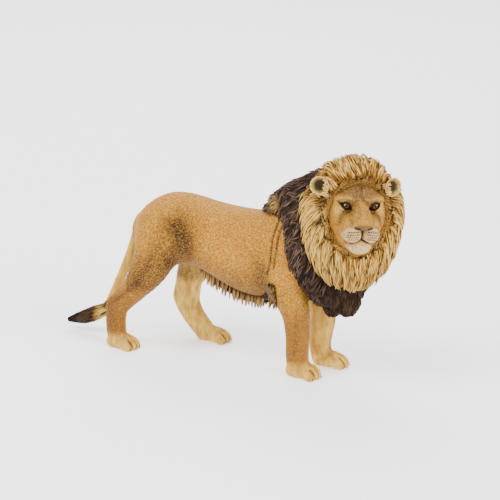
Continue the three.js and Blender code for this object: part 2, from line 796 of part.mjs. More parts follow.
// Two pegs hold the fringe up into the belly.
function fringePegs(grow = 0) {
  const pegShares = [
    [0.3, 0.5],
    [0.72, 0.2],
  ];
  const pegs = pegShares.map(([back, fall]) => {
    const base = onKeel(back, fall);
    return peg(base.clone().addScaledVector(up, pegLength), base, fringeThickness / 4, grow, 10);
  });
  return join(pegs);
}

// Assembly: each piece gives way, with the gap, to the ones it sits on

function bodyBlank(grow = 0) {
  return join([trunk(grow), neckStub(grow), ...Object.values(legs).map((leg) => upperLimb(leg, grow))]);
}

// The shoulder or haunch that is cast with the trunk
function upperLimb(leg, grow = 0) {
  const { at, down } = seatOf(leg);
  return limb(leg, grow).subtract(beyond(at.clone().addScaledVector(down, grow), down));
}

function cutAway(solid, rooms) {
  return rooms.reduce((whole, room) => whole.subtract(room), solid);
}

function buildPieces() {
  const legPieces = Object.entries(legs).map(([name, leg]) => [name, legPiece(leg), "tan_coat"]);
  const legRoom = join(Object.values(legs).map((leg) => legPiece(leg, gap)));
  const torso = cutAway(bodyBlank(), [legRoom, tailPeg(gap), fringePegs(gap)]);
  const bodyRoom = bodyBlank(gap);

  const headRoom = head(gap);
  const earRoom = ear(-1, gap).add(ear(1, gap));
  const faceRooms = [headRoom, earRoom];
  const ruffPiece = cutAway(ruff(), [...faceRooms, bodyRoom]);
  const darkPiece = cutAway(darkMane(), [ruff(gap), ...faceRooms, bodyRoom, legRoom, bibPeg(gap)]);
  const bib = cutAway(chestMane(), [darkMane(gap), ruff(gap), ...faceRooms, bodyRoom, legRoom]);

  const tailPiece = cutAway(tail(), [bodyRoom]).add(tailPeg()).add(tailEnd());
  const tuftPiece = cutAway(tuft(), [tailEnd(gap), tail(gap)]);
  const fringePiece = cutAway(bellyFringe(), [bodyRoom, legRoom]).add(fringePegs());
  return [
    ["torso", torso, "tan_coat"],
    ...legPieces,
    ["tail", cutAway(tailPiece, [legRoom]), "tan_coat"],
    ["tail_tuft", tuftPiece, "dark_hair"],
    ["belly_fringe", cutAway(fringePiece, [darkMane(gap)]), "dark_hair"],
    ["dark_mane", darkPiece, "dark_hair"],
    ["chest_mane", bib.add(bibPeg()), "dark_hair"],
    ["light_mane", ruffPiece, "light_hair"],
    ["head", head(), "face"],
    ["right_ear", cutAway(ear(-1), [headRoom]), "ear"],
    ["left_ear", cutAway(ear(1), [headRoom]), "ear"],
  ].map(([name, solid, finish]) => [name, largest(solid), finish]);
}

const finishes = {
  tan_coat: { color: 0xb98445, roughness: 0.62, metalness: 0 },
  dark_hair: { color: 0x3d2a20, roughness: 0.58, metalness: 0 },
  light_hair: { color: 0xc6a163, roughness: 0.6, metalness: 0 },
  face: { color: 0xc08f58, roughness: 0.6, metalness: 0 },
  ear: { color: 0xa67d48, roughness: 0.62, metalness: 0 },
};

// The origin is on the floor, under the middle of the figure's box
const figure = new THREE.Group();
for (const [name, solid, finish] of buildPieces()) {
  const mesh = new THREE.Mesh(geometryOf(solid), new THREE.MeshStandardMaterial(finishes[finish]));
  mesh.name = name;
  figure.add(mesh);
}
const box = new THREE.Box3().setFromObject(figure);
const middle = box.getCenter(new THREE.Vector3());
figure.position.set(-middle.x, -middle.y, -box.min.z);

export default figure;
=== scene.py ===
import bmesh
import bpy
import numpy as np
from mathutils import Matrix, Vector


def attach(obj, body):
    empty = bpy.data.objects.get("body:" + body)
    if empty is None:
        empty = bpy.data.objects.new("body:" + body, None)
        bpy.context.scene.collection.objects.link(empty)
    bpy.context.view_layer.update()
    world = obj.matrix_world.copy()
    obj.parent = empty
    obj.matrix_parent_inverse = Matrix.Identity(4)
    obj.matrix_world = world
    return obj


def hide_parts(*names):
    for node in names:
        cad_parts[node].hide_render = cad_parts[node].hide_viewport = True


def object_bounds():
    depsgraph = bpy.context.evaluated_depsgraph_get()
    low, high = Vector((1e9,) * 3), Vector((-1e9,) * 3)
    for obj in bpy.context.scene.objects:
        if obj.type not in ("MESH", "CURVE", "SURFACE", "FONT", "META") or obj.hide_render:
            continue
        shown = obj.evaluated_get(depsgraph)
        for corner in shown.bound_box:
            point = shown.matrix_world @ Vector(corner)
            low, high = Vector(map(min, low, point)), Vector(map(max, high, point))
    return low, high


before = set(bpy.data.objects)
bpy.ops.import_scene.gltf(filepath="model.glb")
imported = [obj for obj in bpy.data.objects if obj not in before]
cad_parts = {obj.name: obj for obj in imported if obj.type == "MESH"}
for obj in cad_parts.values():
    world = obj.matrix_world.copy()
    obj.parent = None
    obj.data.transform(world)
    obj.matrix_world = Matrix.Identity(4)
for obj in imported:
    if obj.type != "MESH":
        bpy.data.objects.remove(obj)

bl_info = {
    "name": "Toy lion",
    "version": (1, 0, 0),
    "blender": (4, 5, 0),
    "location": "View3D > Sidebar > Lion",
    "description": "Sculpted and painted surfaces for a standing toy lion",
    "category": "Add Mesh",
}

# Places and sizes are millimetres on the sculptor's drawing: X forward, Y to the animal's left, Z up
# from the ground, zero at the middle of the stance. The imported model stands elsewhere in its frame.
MM = 0.001
CAD_BOX = [list(corner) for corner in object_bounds()]
FIGURE_LOW = np.array([-65.807, -19.229, 0.5])
PLACE = np.array(CAD_BOX[0]) / MM - FIGURE_LOW
SOLE = 0.5  # the castings are ground flat at this height
SEAM = 0.01  # gap on each side of the plane where two castings meet
FAR = 50.0  # value of a field where it isn't worked out
ROOT_DEPTH = 0.12  # a tuft is rooted this far below the skin
FINE = 1
SIDES = (-1, 1)  # the animal's right and left

UP = np.array([0.0, 0.0, 1.0])
HEAD_MIDDLE = np.array([41.4, -4.4, 52.0])
HEAD_TURN = np.radians(51)
HEAD_FORWARD = np.array([np.cos(HEAD_TURN), -np.sin(HEAD_TURN), 0.0])
HEAD_LEFT = np.array([np.sin(HEAD_TURN), np.cos(HEAD_TURN), 0.0])


def on_head(u, v, w):
    """A point u to the animal's left of the ruff's middle, v ahead of it and w above it."""
    u, v, w = np.broadcast_arrays(*(np.asarray(x, float)[..., None] for x in (u, v, w)))
    return HEAD_MIDDLE + u * HEAD_LEFT + v * HEAD_FORWARD + w * UP


# Number tools


def through(stations, count):
    """Catmull-Rom curve through the stations, sampled at even steps of its parameter."""
    s = np.asarray(stations, float)
    s = np.vstack([2 * s[0] - s[1], s, 2 * s[-1] - s[-2]])
    t = np.linspace(0, len(s) - 3, count)
    i = np.minimum(t.astype(int), len(s) - 4)
    f = (t - i)[:, None]
    a, b, c, d = s[i], s[i + 1], s[i + 2], s[i + 3]
    return 0.5 * (2 * b + (c - a) * f + (2 * a - 5 * b + 4 * c - d) * f**2 + (3 * b - a - 3 * c + d) * f**3)


def unit(v):
    """The directions of vectors."""
    return v / np.maximum(np.linalg.norm(v, axis=-1, keepdims=True), 1e-9)


def step_up(x, low, high):
    """Smooth rise from 0 at low to 1 at high."""
    t = np.clip((x - low) / (high - low), 0, 1)
    return t * t * (3 - 2 * t)


def turned(columns):
    """The cosines and sines of a ring's angles."""
    angle = 2 * np.pi * np.arange(columns) / columns
    return np.cos(angle), np.sin(angle)


def cloud(x, y, columns, seed, rows=64):
    """Smooth random numbers from 0 to 1 on a lattice that repeats across after `columns`."""
    lattice = np.random.default_rng(seed).random((columns, rows))
    i, j = np.floor(x).astype(int), np.floor(y).astype(int)
    fx, fy = x - i, y - j
    fx, fy = fx * fx * (3 - 2 * fx), fy * fy * (3 - 2 * fy)
    at = lambda di, dj: lattice[(i + di) % columns, (j + dj) % rows]
    low = at(0, 0) * (1 - fx) + at(1, 0) * fx
    high = at(0, 1) * (1 - fx) + at(1, 1) * fx
    return low * (1 - fy) + high * fy


# Sculpting: a form is a field, below zero inside it and about the distance to its skin outside


def merge(a, b, soft):
    """Union of two fields with a fillet about as wide as `soft`."""
    h = np.clip(0.5 + 0.5 * (b - a) / soft, 0, 1)
    return b + (a - b) * h - soft * h * (1 - h)


def oval_field(offsets, sizes):
    """Field of q = 1, where q is the length of the offsets divided by the half sizes."""
    q = np.sqrt(sum((o / s) ** 2 for o, s in zip(offsets, sizes)))
    slope = np.sqrt(sum((o / s**2) ** 2 for o, s in zip(offsets, sizes)))
    return (q - 1) * (q + 1e-6) / (slope + 1e-6)


def ball_field(p, at, sizes):
    """Field of an oval ball, from its middle and three half sizes."""
    return oval_field((p - at).T, sizes)


def sweep_field(p, path, across=(0.0, 1.0, 0.0)):
    """Field of an oval carried along links of a path of (x, y, z, half width, half depth)."""
    best = np.full(len(p), FAR)
    across = np.asarray(across, float)
    for a, b in zip(path[:-1], path[1:]):
        link = b[:3] - a[:3]
        length = np.linalg.norm(link)
        along = link / length
        side = unit(across - across @ along * along)
        over = np.cross(along, side)
        t = np.clip((p - a[:3]) @ along / length, 0, 1)
        d = p - a[:3] - t[:, None] * link
        wide, deep = a[3] + (b[3] - a[3]) * t, a[4] + (b[4] - a[4]) * t
        sizes = (wide, deep, np.minimum(wide, deep))
        best = np.minimum(best, oval_field((d @ side, d @ over, d @ along), sizes))
    return best


def near(p, path, reach, field):
    """A field worked out only round its path, and far off elsewhere."""
    out = np.full(len(p), FAR)
    low, high = path[:, :3].min(0) - reach, path[:, :3].max(0) + reach
    close = ((p > low) & (p < high)).all(1)
    if close.any():
        out[close] = field(p[close], path)
    return out


def crease(p, line, width):
    """1 on a polyline and fading beside it, exp(-(distance / width) squared). A line of (x, z) pairs runs
    through both flanks at once."""
    q = p[:, [0, 2]] if len(line[0]) == 2 else p
    line = np.array(line, float)
    best = np.inf
    for a, b in zip(line[:-1], line[1:]):
        t = np.clip((q - a) @ (b - a) / ((b - a) @ (b - a)), 0, 1)
        best = np.minimum(best, np.linalg.norm(q - a - t[:, None] * (b - a), axis=1))
    return np.exp(-((best / width) ** 2))


def mound(p, at, sizes):
    """Rounded swelling, 1 at its top and fading out over the sizes."""
    return np.exp(-sum(((p[:, k] - at[k]) / sizes[k]) ** 2 for k in range(3)))


def creases(p, table):
    """Sum of soft lines, given as share, line and width."""
    return sum(share * crease(p, line, width) for share, line, width in table)


def mounds(p, table):
    """Sum of mounds, given as share, middle and reach."""
    return sum(share * mound(p, at, reach) for share, at, reach in table)


def slope_of(field, p, reach):
    """Gradient of a field by central differences."""
    shifts = reach * np.eye(3)
    return np.stack([(field(p + shift) - field(p - shift)) / (2 * reach) for shift in shifts], 1)


def finer(values, times):
    """Each value of a grid repeated `times` over along all three axes."""
    for axis in range(3):
        values = np.repeat(values, times, axis)
    return values


def at_corners(values, shape):
    """The grid's values at each of the eight corners of its cells."""
    corners = [(i, j, k) for i in (0, 1) for j in (0, 1) for k in (0, 1)]
    return [values[i : i + shape[0], j : j + shape[1], k : k + shape[2]] for i, j, k in corners]


def skin_of(field, low, high, step, blocks=4):
    """Skin of a field: one vertex for each grid cell that the skin crosses, at the mean of the crossings on
    the cell's edges, and one quad for each grid edge that it crosses. The vertices are then moved down the
    gradient onto the skin. Fine values are worked out only in the coarse blocks near the skin."""
    low, high = np.asarray(low, float), np.asarray(high, float)
    count = np.ceil((high - low) / (step * blocks)).astype(int)
    lines = [lo + step * blocks * np.arange(n + 1) for lo, n in zip(low, count)]
    coarse = np.stack(np.meshgrid(*lines, indexing="ij"), -1)
    rough = field(coarse.reshape(-1, 3)).reshape(coarse.shape[:3])
    fine = finer(np.min(np.abs(at_corners(rough, count)), 0) < 2.6 * step * blocks, blocks)
    wanted = np.zeros(np.array(fine.shape) + 1, bool)
    for corner in at_corners(wanted, fine.shape):
        corner |= fine
    values = finer(rough, blocks)[tuple(slice(n) for n in wanted.shape)].copy()
    values[wanted] = field(low + step * np.argwhere(wanted))
    inside = values < 0
    total = np.sum(at_corners(inside, fine.shape), 0)
    mixed = (total > 0) & (total < 8) & fine
    index = np.full(mixed.shape, -1)
    index[mixed] = np.arange(mixed.sum())
    cells = np.argwhere(mixed)
    place, hits = np.zeros((len(cells), 3)), np.zeros(len(cells))
    one = np.eye(3, dtype=int)
    quads = []
    for axis in range(3):
        b, c = (axis + 1) % 3, (axis + 2) % 3
        for i, j in ((0, 0), (0, 1), (1, 0), (1, 1)):
            start = cells + i * one[b] + j * one[c]
            v0, v1 = values[tuple(start.T)], values[tuple((start + one[axis]).T)]
            crossed = (v0 < 0) != (v1 < 0)
            share = np.where(crossed, v0 / np.where(v0 == v1, 1, v0 - v1), 0)
            place[crossed] += (start + share[:, None] * one[axis])[crossed]
            hits[crossed] += 1
        last = inside.shape[axis] - 1
        first = np.take(inside, np.arange(last), axis)
        edges = np.argwhere(first != np.take(inside, np.arange(last) + 1, axis))
        low_enough = (edges[:, b] < mixed.shape[b]) & (edges[:, c] < mixed.shape[c])
        edges = edges[(edges[:, b] > 0) & (edges[:, c] > 0) & low_enough]
        around = ((1, 1), (0, 1), (0, 0), (1, 0))
        ring = np.stack([index[tuple((edges - i * one[b] - j * one[c]).T)] for i, j in around], 1)
        out = first[tuple(edges.T)]
        ring[~out] = ring[~out][:, ::-1]
        quads.append(ring[(ring >= 0).all(1)])
    points = low + step * place / hits[:, None]
    for reach in (step, step / 2):
        grade = slope_of(field, points, step / 3)
        move = np.clip(field(points) / np.maximum((grade**2).sum(1), 0.05), -reach, reach)
        points = points - move[:, None] * grade
    return points, np.vstack(quads)


# Meshes


def make_piece(name, points, faces, coat, replaces, fields, normals=None):
    """A Blender object from points in millimetres, faces of three or four corners and per-point fields."""
    mesh = bpy.data.meshes.new(name)
    corners = np.concatenate([f.ravel() for f in faces])
    sides = np.concatenate([np.full(len(f), f.shape[1]) for f in faces])
    mesh.vertices.add(len(points))
    mesh.vertices.foreach_set("co", ((points + PLACE) * MM).astype(np.float32).ravel())
    mesh.loops.add(len(corners))
    mesh.loops.foreach_set("vertex_index", corners.astype(np.int32))
    mesh.polygons.add(len(sides))
    mesh.polygons.foreach_set("loop_start", (np.cumsum(sides) - sides).astype(np.int32))
    mesh.polygons.foreach_set("use_smooth", np.ones(len(sides), bool))
    mesh.update(calc_edges=True)
    if mesh.validate():
        raise RuntimeError(f"{name}: a face repeats a corner")
    for key, values in fields.items():
        values = np.asarray(values, np.float32)
        kind, field = ("FLOAT_VECTOR", "vector") if values.ndim == 2 else ("FLOAT", "value")
        mesh.attributes.new(key, kind, "POINT").data.foreach_set(field, values.ravel())
    if normals is not None:
        mesh.normals_split_custom_set_from_vertices(normals.tolist())
    mesh.materials.append(coat)
    piece = bpy.data.objects.new(name, mesh)
    bpy.context.scene.collection.objects.link(piece)
    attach(piece, "root")
    if replaces:
        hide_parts(*replaces)


def cut_flat(points, quads, planes):
    """Trims a skin at planes of (place, outward direction, side) and closes each cut. A plane with a side of
    1 or -1 cuts only what lies on that side of the animal's middle."""
    mesh = bpy.data.meshes.new("trim")
    mesh.from_pydata(points.tolist(), [], quads.tolist())
    form = bmesh.new()
    form.from_mesh(mesh)
    bpy.data.meshes.remove(mesh)
    for at, out, side in planes:
        faces = [f for f in form.faces if not side or f.calc_center_median().y * side > 0.5]
        # Each corner and edge once, in the order of the faces, so that every run gives the same mesh
        verts = dict.fromkeys(v for f in faces for v in f.verts)
        edges = dict.fromkeys(e for f in faces for e in f.edges)
        geometry = [*verts, *edges, *faces]
        done = bmesh.ops.bisect_plane(form, geom=geometry, dist=1e-6, plane_co=at, plane_no=out, clear_outer=True)
        rim = [e for e in done["geom_cut"] if isinstance(e, bmesh.types.BMEdge) and e.is_boundary]
        bmesh.ops.holes_fill(form, edges=rim, sides=0)
    loose = [v for v in form.verts if not v.link_faces]
    bmesh.ops.delete(form, geom=loose, context="VERTS")
    bmesh.ops.triangulate(form, faces=[f for f in form.faces if len(f.verts) > 4])
    bmesh.ops.recalc_face_normals(form, faces=form.faces)
    form.verts.ensure_lookup_table()
    form.verts.index_update()
    points = np.array([v.co[:] for v in form.verts])
    corners = [[v.index for v in f.verts] for f in form.faces]
    form.free()
    return points, [np.array([c for c in corners if len(c) == n]).reshape(-1, n) for n in (3, 4)]


def hollow_share(field, points, normals, reach):
    """How closed in a point is: 0 on open skin, towards 1 at the bottom of a crease."""
    return np.clip(1 - field(points + normals * reach) / reach, 0, 1)


def weights(f):
    """The four Catmull-Rom weights at share f of a step."""
    return (
        (-f + 2 * f**2 - f**3) / 2,
        (2 - 5 * f**2 + 3 * f**3) / 2,
        (f + 4 * f**2 - 3 * f**3) / 2,
        (-(f**2) + f**3) / 2,
    )


class Skin:
    """A smooth surface through a net of points: a runs along its rows and b, which repeats, around it."""

    def __init__(self, net):
        net = np.asarray(net, float)
        self.rows, self.columns = net.shape[:2]
        self.net = np.concatenate([2 * net[:1] - net[1:2], net, 2 * net[-1:] - net[-2:-1]])
        self.middles = net.mean(1)

    def at(self, a, b):
        a = np.clip(a, 0, self.rows - 1)
        i = np.minimum(a.astype(int), self.rows - 2)
        j = np.floor(b).astype(int)
        total = 0
        for di, wi in enumerate(weights(a - i)):
            for dj, wj in enumerate(weights(b - j)):
                total = total + (wi * wj)[..., None] * self.net[i + di, (j + dj - 1) % self.columns]
        return total

    def frame(self, a, b):
        """The point, its outward normal and how it moves with a and b."""
        e = 0.02
        low, high = np.clip(a - e, 0, self.rows - 1), np.clip(a + e, 0, self.rows - 1)
        along = (self.at(high, b) - self.at(low, b)) / (high - low)[..., None]
        around = (self.at(a, b + e) - self.at(a, b - e)) / (2 * e)
        point = self.at(a, b)
        normal = unit(np.cross(around, along))
        i = np.clip(np.rint(a).astype(int), 0, self.rows - 1)
        flip = np.sign((normal * (point - self.middles[i])).sum(-1, keepdims=True))
        return point, normal * np.where(flip == 0, 1, flip), along, around


def shell_faces(rows, columns):
    """Quads of a tube of rows, and a fan of triangles to a pole at each end. The poles follow the rows."""
    i, j = np.meshgrid(np.arange(rows - 1), np.arange(columns), indexing="ij")
    k = (j + 1) % columns
    quads = np.stack([i * columns + j, i * columns + k, (i + 1) * columns + k, (i + 1) * columns + j], -1)
    ring, base = np.arange(columns), (rows - 1) * columns
    after, pole = (ring + 1) % columns, np.full(columns, rows * columns)
    first, last = np.stack([pole, after, ring], 1), np.stack([pole + 1, base + ring, base + after], 1)
    return quads.reshape(-1, 4), np.concatenate([first, last])


def outward(points, quads, fans):
    """Turns the faces of a closed shell outwards, by the sign of its volume."""
    a, b, c, d = (points[quads[:, k]] for k in range(4))
    volume = (np.cross(b, c) * a).sum() + (np.cross(c, d) * a).sum()
    return (quads, fans) if volume > 0 else (quads[:, ::-1], fans[:, ::-1])


# Hair


def carved_skin(skin, rows, columns, relief, span=(0.0, 1.0), crowd=1.0):
    """A hair mass: the skin's grid, each point moved along its normal by relief(a share, b share). The rows
    lie at equal steps to the power of `crowd`."""
    a = (span[0] + (span[1] - span[0]) * np.linspace(0, 1, rows) ** crowd) * (skin.rows - 1)
    b = np.arange(columns) / columns * skin.columns
    a, b = np.meshgrid(a, b, indexing="ij")
    point, normal, _, _ = skin.frame(a, b)
    height, ridge = relief(a / (skin.rows - 1), b / skin.columns)
    point = point + normal * height[..., None]
    points = np.concatenate([point.reshape(-1, 3), [point[0].mean(0), point[-1].mean(0)]])
    quads, fans = outward(points, *shell_faces(rows, columns))
    around = np.cumsum(np.linalg.norm(np.roll(point, -1, 1) - point, axis=-1), 1)
    along = np.cumsum(np.linalg.norm(np.gradient(point, axis=0), axis=-1), 0)

    def flat(values):
        values = values.reshape((-1,) + values.shape[2:])
        return np.concatenate([values, values[-2:]])

    fields = {
        "ridge": 0.6 * flat(ridge),
        "hair": flat(np.stack([around, along, 0 * a], -1)),
        "tip": flat(a / (skin.rows - 1) * 0.5),
        "lock": np.zeros(len(points)),
    }
    return points, quads, fans, fields


def combed(count, seed, drift, depth):
    """Relief of combed hair: three widths of ridge run along the surface, pushed sideways by slow noise and
    drifting round it. A ridge is the root of a sine, so it is round on top with a sharp groove beside it."""

    def relief(a, b):
        b = b + drift(a, b)
        push = 0.9 * cloud(b * 14, a * 4 + 5, 14, seed) + 0.35 * cloud(b * 48, a * 9, 48, seed + 1)
        total, high = 0, 0
        for share, times, power in ((0.55, 1, 0.55), (0.3, 2.5, 0.6), (0.15, 6, 0.8)):
            number = int(round(count * times))
            ridge = np.abs(np.sin(np.pi * (b * number + push * (1 + 0.4 * times)))) ** power
            rough = 0.45 + 0.9 * cloud(b * number / 3, a * 7 + times, max(1, number // 3), seed + number)
            total = total + share * ridge * rough
            high = high + share * ridge
        return depth * total, np.clip(high, 0, 1)

    return relief


def strands(paths, normals, wide, thick, chance, profile, sides=6):
    """Tapered locks: an oval carried along each path. Sizes follow profile(t) from root to tip, and each
    lock closes in a point."""
    number, rings = paths.shape[:2]
    t = np.linspace(0, 1, rings)
    tangent = unit(np.gradient(paths, axis=1))
    side = unit(np.cross(tangent, normals))
    over = unit(np.cross(side, tangent))
    c, s = turned(sides)
    wide, thick = wide[:, None, None], thick[:, None, None]
    size = profile(t)[None, :, None]
    across = side[:, :, None] * c[:, None] * (wide * size)[..., None]
    ring = paths[:, :, None] + across + over[:, :, None] * s[:, None] * (thick * size)[..., None]
    points = rings * sides + 2
    tips = paths[:, -1:] + tangent[:, -1:] * wide * 0.4
    body = np.concatenate([ring.reshape(number, -1, 3), paths[:, :1], tips], 1)
    quads, fans = outward(body[0], *shell_faces(rings, sides))
    shift = (np.arange(number) * points)[:, None, None]
    run = np.append(0, np.cumsum(np.linalg.norm(np.diff(paths, axis=1), axis=-1).mean(0)))
    x = c * wide * np.ones((rings, 1))
    spread = lambda values: np.broadcast_to(values, x.shape)
    hair = np.stack([x, spread(run[:, None]), spread(chance[:, None, None])], -1)
    close = lambda v, tail: np.concatenate([v.reshape(number, rings * sides, *v.shape[3:]), tail], 1)
    fields = {
        "hair": close(hair, np.stack([hair[:, 0, 0], hair[:, -1, 0]], 1)).reshape(-1, 3),
        # ridge: high on a lock's top, low on its underside, which the paint darkens as painted shade
        "ridge": close(spread(0.45 + 0.55 * s), np.tile([0.3, 0.8], (number, 1))).ravel(),
        "tip": close(spread(t[:, None]), np.tile([0.0, 1.0], (number, 1))).ravel(),
        "lock": np.ones(number * points),
    }
    return body.reshape(-1, 3), (quads + shift).reshape(-1, 4), (fans + shift).reshape(-1, 3), fields


def lock_shape(t):
    """Half-width share along a lock: quickly full, then drawn to a point."""
    return np.clip(0.55 + 1.6 * t, 0, 1) * np.clip((1.04 - t) / 0.6, 0.04, 1) ** 0.75


def combed_paths(skin, a, b, length, flow, rings, swirl, seed, lift=0.0, rise=0.0):
    """Paths over a skin: each step follows flow(point, normal) laid into the surface, with a slow sideways
    swing, and the path lies lift + rise * t above the skin."""
    luck = np.random.default_rng(seed)
    phase, swing = luck.uniform(0, 2 * np.pi, len(a)), luck.normal(0, swirl, len(a))
    points, outs = [], []
    t = np.linspace(0, 1, rings)
    for share in t:
        point, normal, along, around = skin.frame(a, b)
        points.append(point)
        outs.append(normal)
        way = flow(point, normal)
        way = unit(way - (way * normal).sum(-1, keepdims=True) * normal)
        way = unit(way + np.cross(normal, way) * (swing * np.sin(phase + 3 * share))[:, None])
        way = way * (length / (rings - 1))[:, None]
        aa, ab, bb = (along**2).sum(-1), (along * around).sum(-1), (around**2).sum(-1)
        wa, wb = (way * along).sum(-1), (way * around).sum(-1)
        det = np.maximum(aa * bb - ab**2, 1e-6)
        a = np.clip(a + (wa * bb - wb * ab) / det, 0, skin.rows - 1)
        b = b + (wb * aa - wa * ab) / det
    points, outs = np.stack(points, 1), np.stack(outs, 1)
    return points + outs * ((lift + rise * t) * luck.uniform(0.6, 1.3, (len(a), 1)))[..., None], outs


def tufts(skin, a, b, length, flow, seed, each, spread, wide, rise, rings, swirl):
    """Pointed tufts. Each has a middle line combed over the skin, and `each` strands beside it: middle +
    side * s * spread * (1 - 0.8 t) + out * (bulge * (1 - s squared) + rise * t to the 1.4), s from -1 to 1."""
    luck = np.random.default_rng(seed)
    paths, outs = combed_paths(skin, a, b, length, flow, rings, swirl, seed + 1)
    side = unit(np.cross(unit(np.gradient(paths, axis=1)), outs))
    s = (np.linspace(-1, 1, each) + luck.normal(0, 0.1, (len(a), each)))[..., None]
    t = np.linspace(0, 1, rings)
    at = t * luck.uniform(0.78, 1.0, (len(a), each, 1)) * (rings - 1)
    i = np.minimum(at.astype(int), rings - 2)
    f = (at - i)[..., None]
    tuft = np.arange(len(a))[:, None, None]
    between = lambda v: v[tuft, i] * (1 - f) + v[tuft, i + 1] * f
    middle, out, beside = between(paths), unit(between(outs)), between(side)
    room = spread * luck.uniform(0.7, 1.25, (len(a), 1, 1))
    aside = s * room * (1 - 0.8 * t**1.1)
    bulge = 0.5 * room * (1 - s**2) * np.sin(np.pi * (0.15 + 0.6 * t))
    lifted = bulge + rise * luck.uniform(0.5, 1.4, (len(a), each, 1)) * t**1.4
    lines = middle + beside * aside[..., None] + out * (lifted - ROOT_DEPTH)[..., None]
    number = len(a) * each
    chance = np.repeat(luck.random(len(a)), each) + luck.uniform(-0.1, 0.1, number)
    width = luck.uniform(*wide, number)
    lines, out = lines.reshape(number, rings, 3), out.reshape(number, rings, 3)
    return strands(lines, out, width, width * 0.95, chance, lock_shape)


def gathered(parts):
    """Joins shells of (points, quads, fans, fields) into one."""
    start, points, quads, fans, fields = 0, [], [], [], {}
    for p, q, f, extra in parts:
        points.append(p)
        quads.append(q + start)
        fans.append(f + start)
        start += len(p)
        for key, value in extra.items():
            fields.setdefault(key, []).append(value)
    fields = {key: np.concatenate(values) for key, values in fields.items()}
    return np.concatenate(points), [np.concatenate(quads), np.concatenate(fans)], fields


def ring_net(middle, across, over, wide, high, low=None, columns=24):
    """One row of a net: an oval round the middle, with its own height above and below."""
    c, s = turned(columns)
    low = high if low is None else low
    return middle + across * (wide * c)[:, None] + over * (np.where(s > 0, high, low) * s)[:, None]


def swept_net(path, across=(0.0, 1.0, 0.0), columns=16):
    """Net of a tube: an oval of (half width, half depth) across each station of the path."""
    path = np.asarray(path, float)
    tangent = unit(np.gradient(path[:, :3], axis=0))
    side = unit(np.asarray(across) - (tangent @ np.asarray(across))[:, None] * tangent)
    over = np.cross(tangent, side)
    return np.stack([ring_net(p[:3], s, o, p[3], p[4], columns=columns) for p, s, o in zip(path, side, over)])


# Paint


def linear(colour):
    """Screen colour to linear light."""
    c = np.asarray(tuple(colour)[:3], float)
    return (*np.where(c <= 0.04045, c / 12.92, ((c + 0.055) / 1.055) ** 2.4), 1.0)


class Paint:
    """A painted vinyl finish, built up from nodes."""

    def __init__(self, name, roughness, gloss):
        self.material = bpy.data.materials.new(name)
        self.material.use_nodes = True
        self.tree = self.material.node_tree
        self.shader = self.tree.nodes["Principled BSDF"]
        self.plug(self.shader.inputs["Roughness"], roughness)
        self.plug(self.shader.inputs["Specular IOR Level"], gloss)
        self.place = self.node("TexCoord", "Object")

    def plug(self, socket, value):
        """Links an output into a socket, or sets the socket's own value."""
        if isinstance(value, bpy.types.NodeSocket):
            self.tree.links.new(value, socket)
        else:
            socket.default_value = value

    def node(self, kind, output, inputs=None, **settings):
        """A new node with its settings and a value or a link for each input. Gives one of its outputs."""
        node = self.tree.nodes.new("ShaderNode" + kind)
        for key, value in settings.items():
            setattr(node, key, value)
        for key, value in (inputs or {}).items():
            self.plug(node.inputs[key], value)
        return node.outputs[output]

    def field(self, name, part="Fac"):
        """A painted or sculpted value of the piece, by name."""
        return self.node("Attribute", part, attribute_name=name)

    def speckle(self, vector, size, detail=2.0, rough=0.55, stretch=(1.0, 1.0, 1.0)):
        """Cloudy noise with grains about `size` apart, in the vector's own unit, drawn out by the stretch."""
        if stretch != (1.0, 1.0, 1.0):
            vector = self.node("VectorMath", 0, {0: vector, 1: stretch}, operation="MULTIPLY")
        settings = {"Vector": vector, "Scale": 1 / size, "Detail": detail, "Roughness": rough}
        return self.node("TexNoise", "Fac", settings)

    def sum(self, operation, a, b, clamp=False):
        """Two values put together by one operation."""
        return self.node("Math", 0, {0: a, 1: b}, operation=operation, use_clamp=clamp)

    def spread(self, value, low, high, share=None):
        """Stretches low..high to 0..1, or to 0..share."""
        limits = {"Value": value, "From Min": low, "From Max": high}
        value = self.node("MapRange", "Result", limits, interpolation_type="SMOOTHSTEP")
        return value if share is None else self.sum("MULTIPLY", value, share)

    def over(self, share, under, top):
        """The top colour laid over the one below by the share."""
        under, top = (c if isinstance(c, bpy.types.NodeSocket) else linear(c) for c in (under, top))
        return self.node("Mix", 2, {"Factor": share, 6: under, 7: top}, data_type="RGBA")

    def washed_and_shaded(self, base, fine, low, high, grain, least, colour):
        """The brown wash and painted shade, broken up by the grains of the fur."""
        broken = self.sum("ADD", self.spread(fine, low, high, grain), least)
        return self.over(self.sum("MULTIPLY", self.field("wash_and_shade"), broken, True), base, colour)

    def done(self, colour, height=None, depth=0.0):
        """Sets the colour and a bump of `depth` millimetres for a height from 0 to 1."""
        self.plug(self.shader.inputs["Base Color"], colour)
        if height is not None:
            bump = self.node("Bump", "Normal", {"Height": height, "Distance": depth * MM})
            self.plug(self.shader.inputs["Normal"], bump)
        return self.material


def sizes():
    """The sizes and light that the panel shows."""
    return bpy.context.scene.lion_sizes


def colours():
    """The colours that the panel shows."""
    return bpy.context.scene.lion_colours


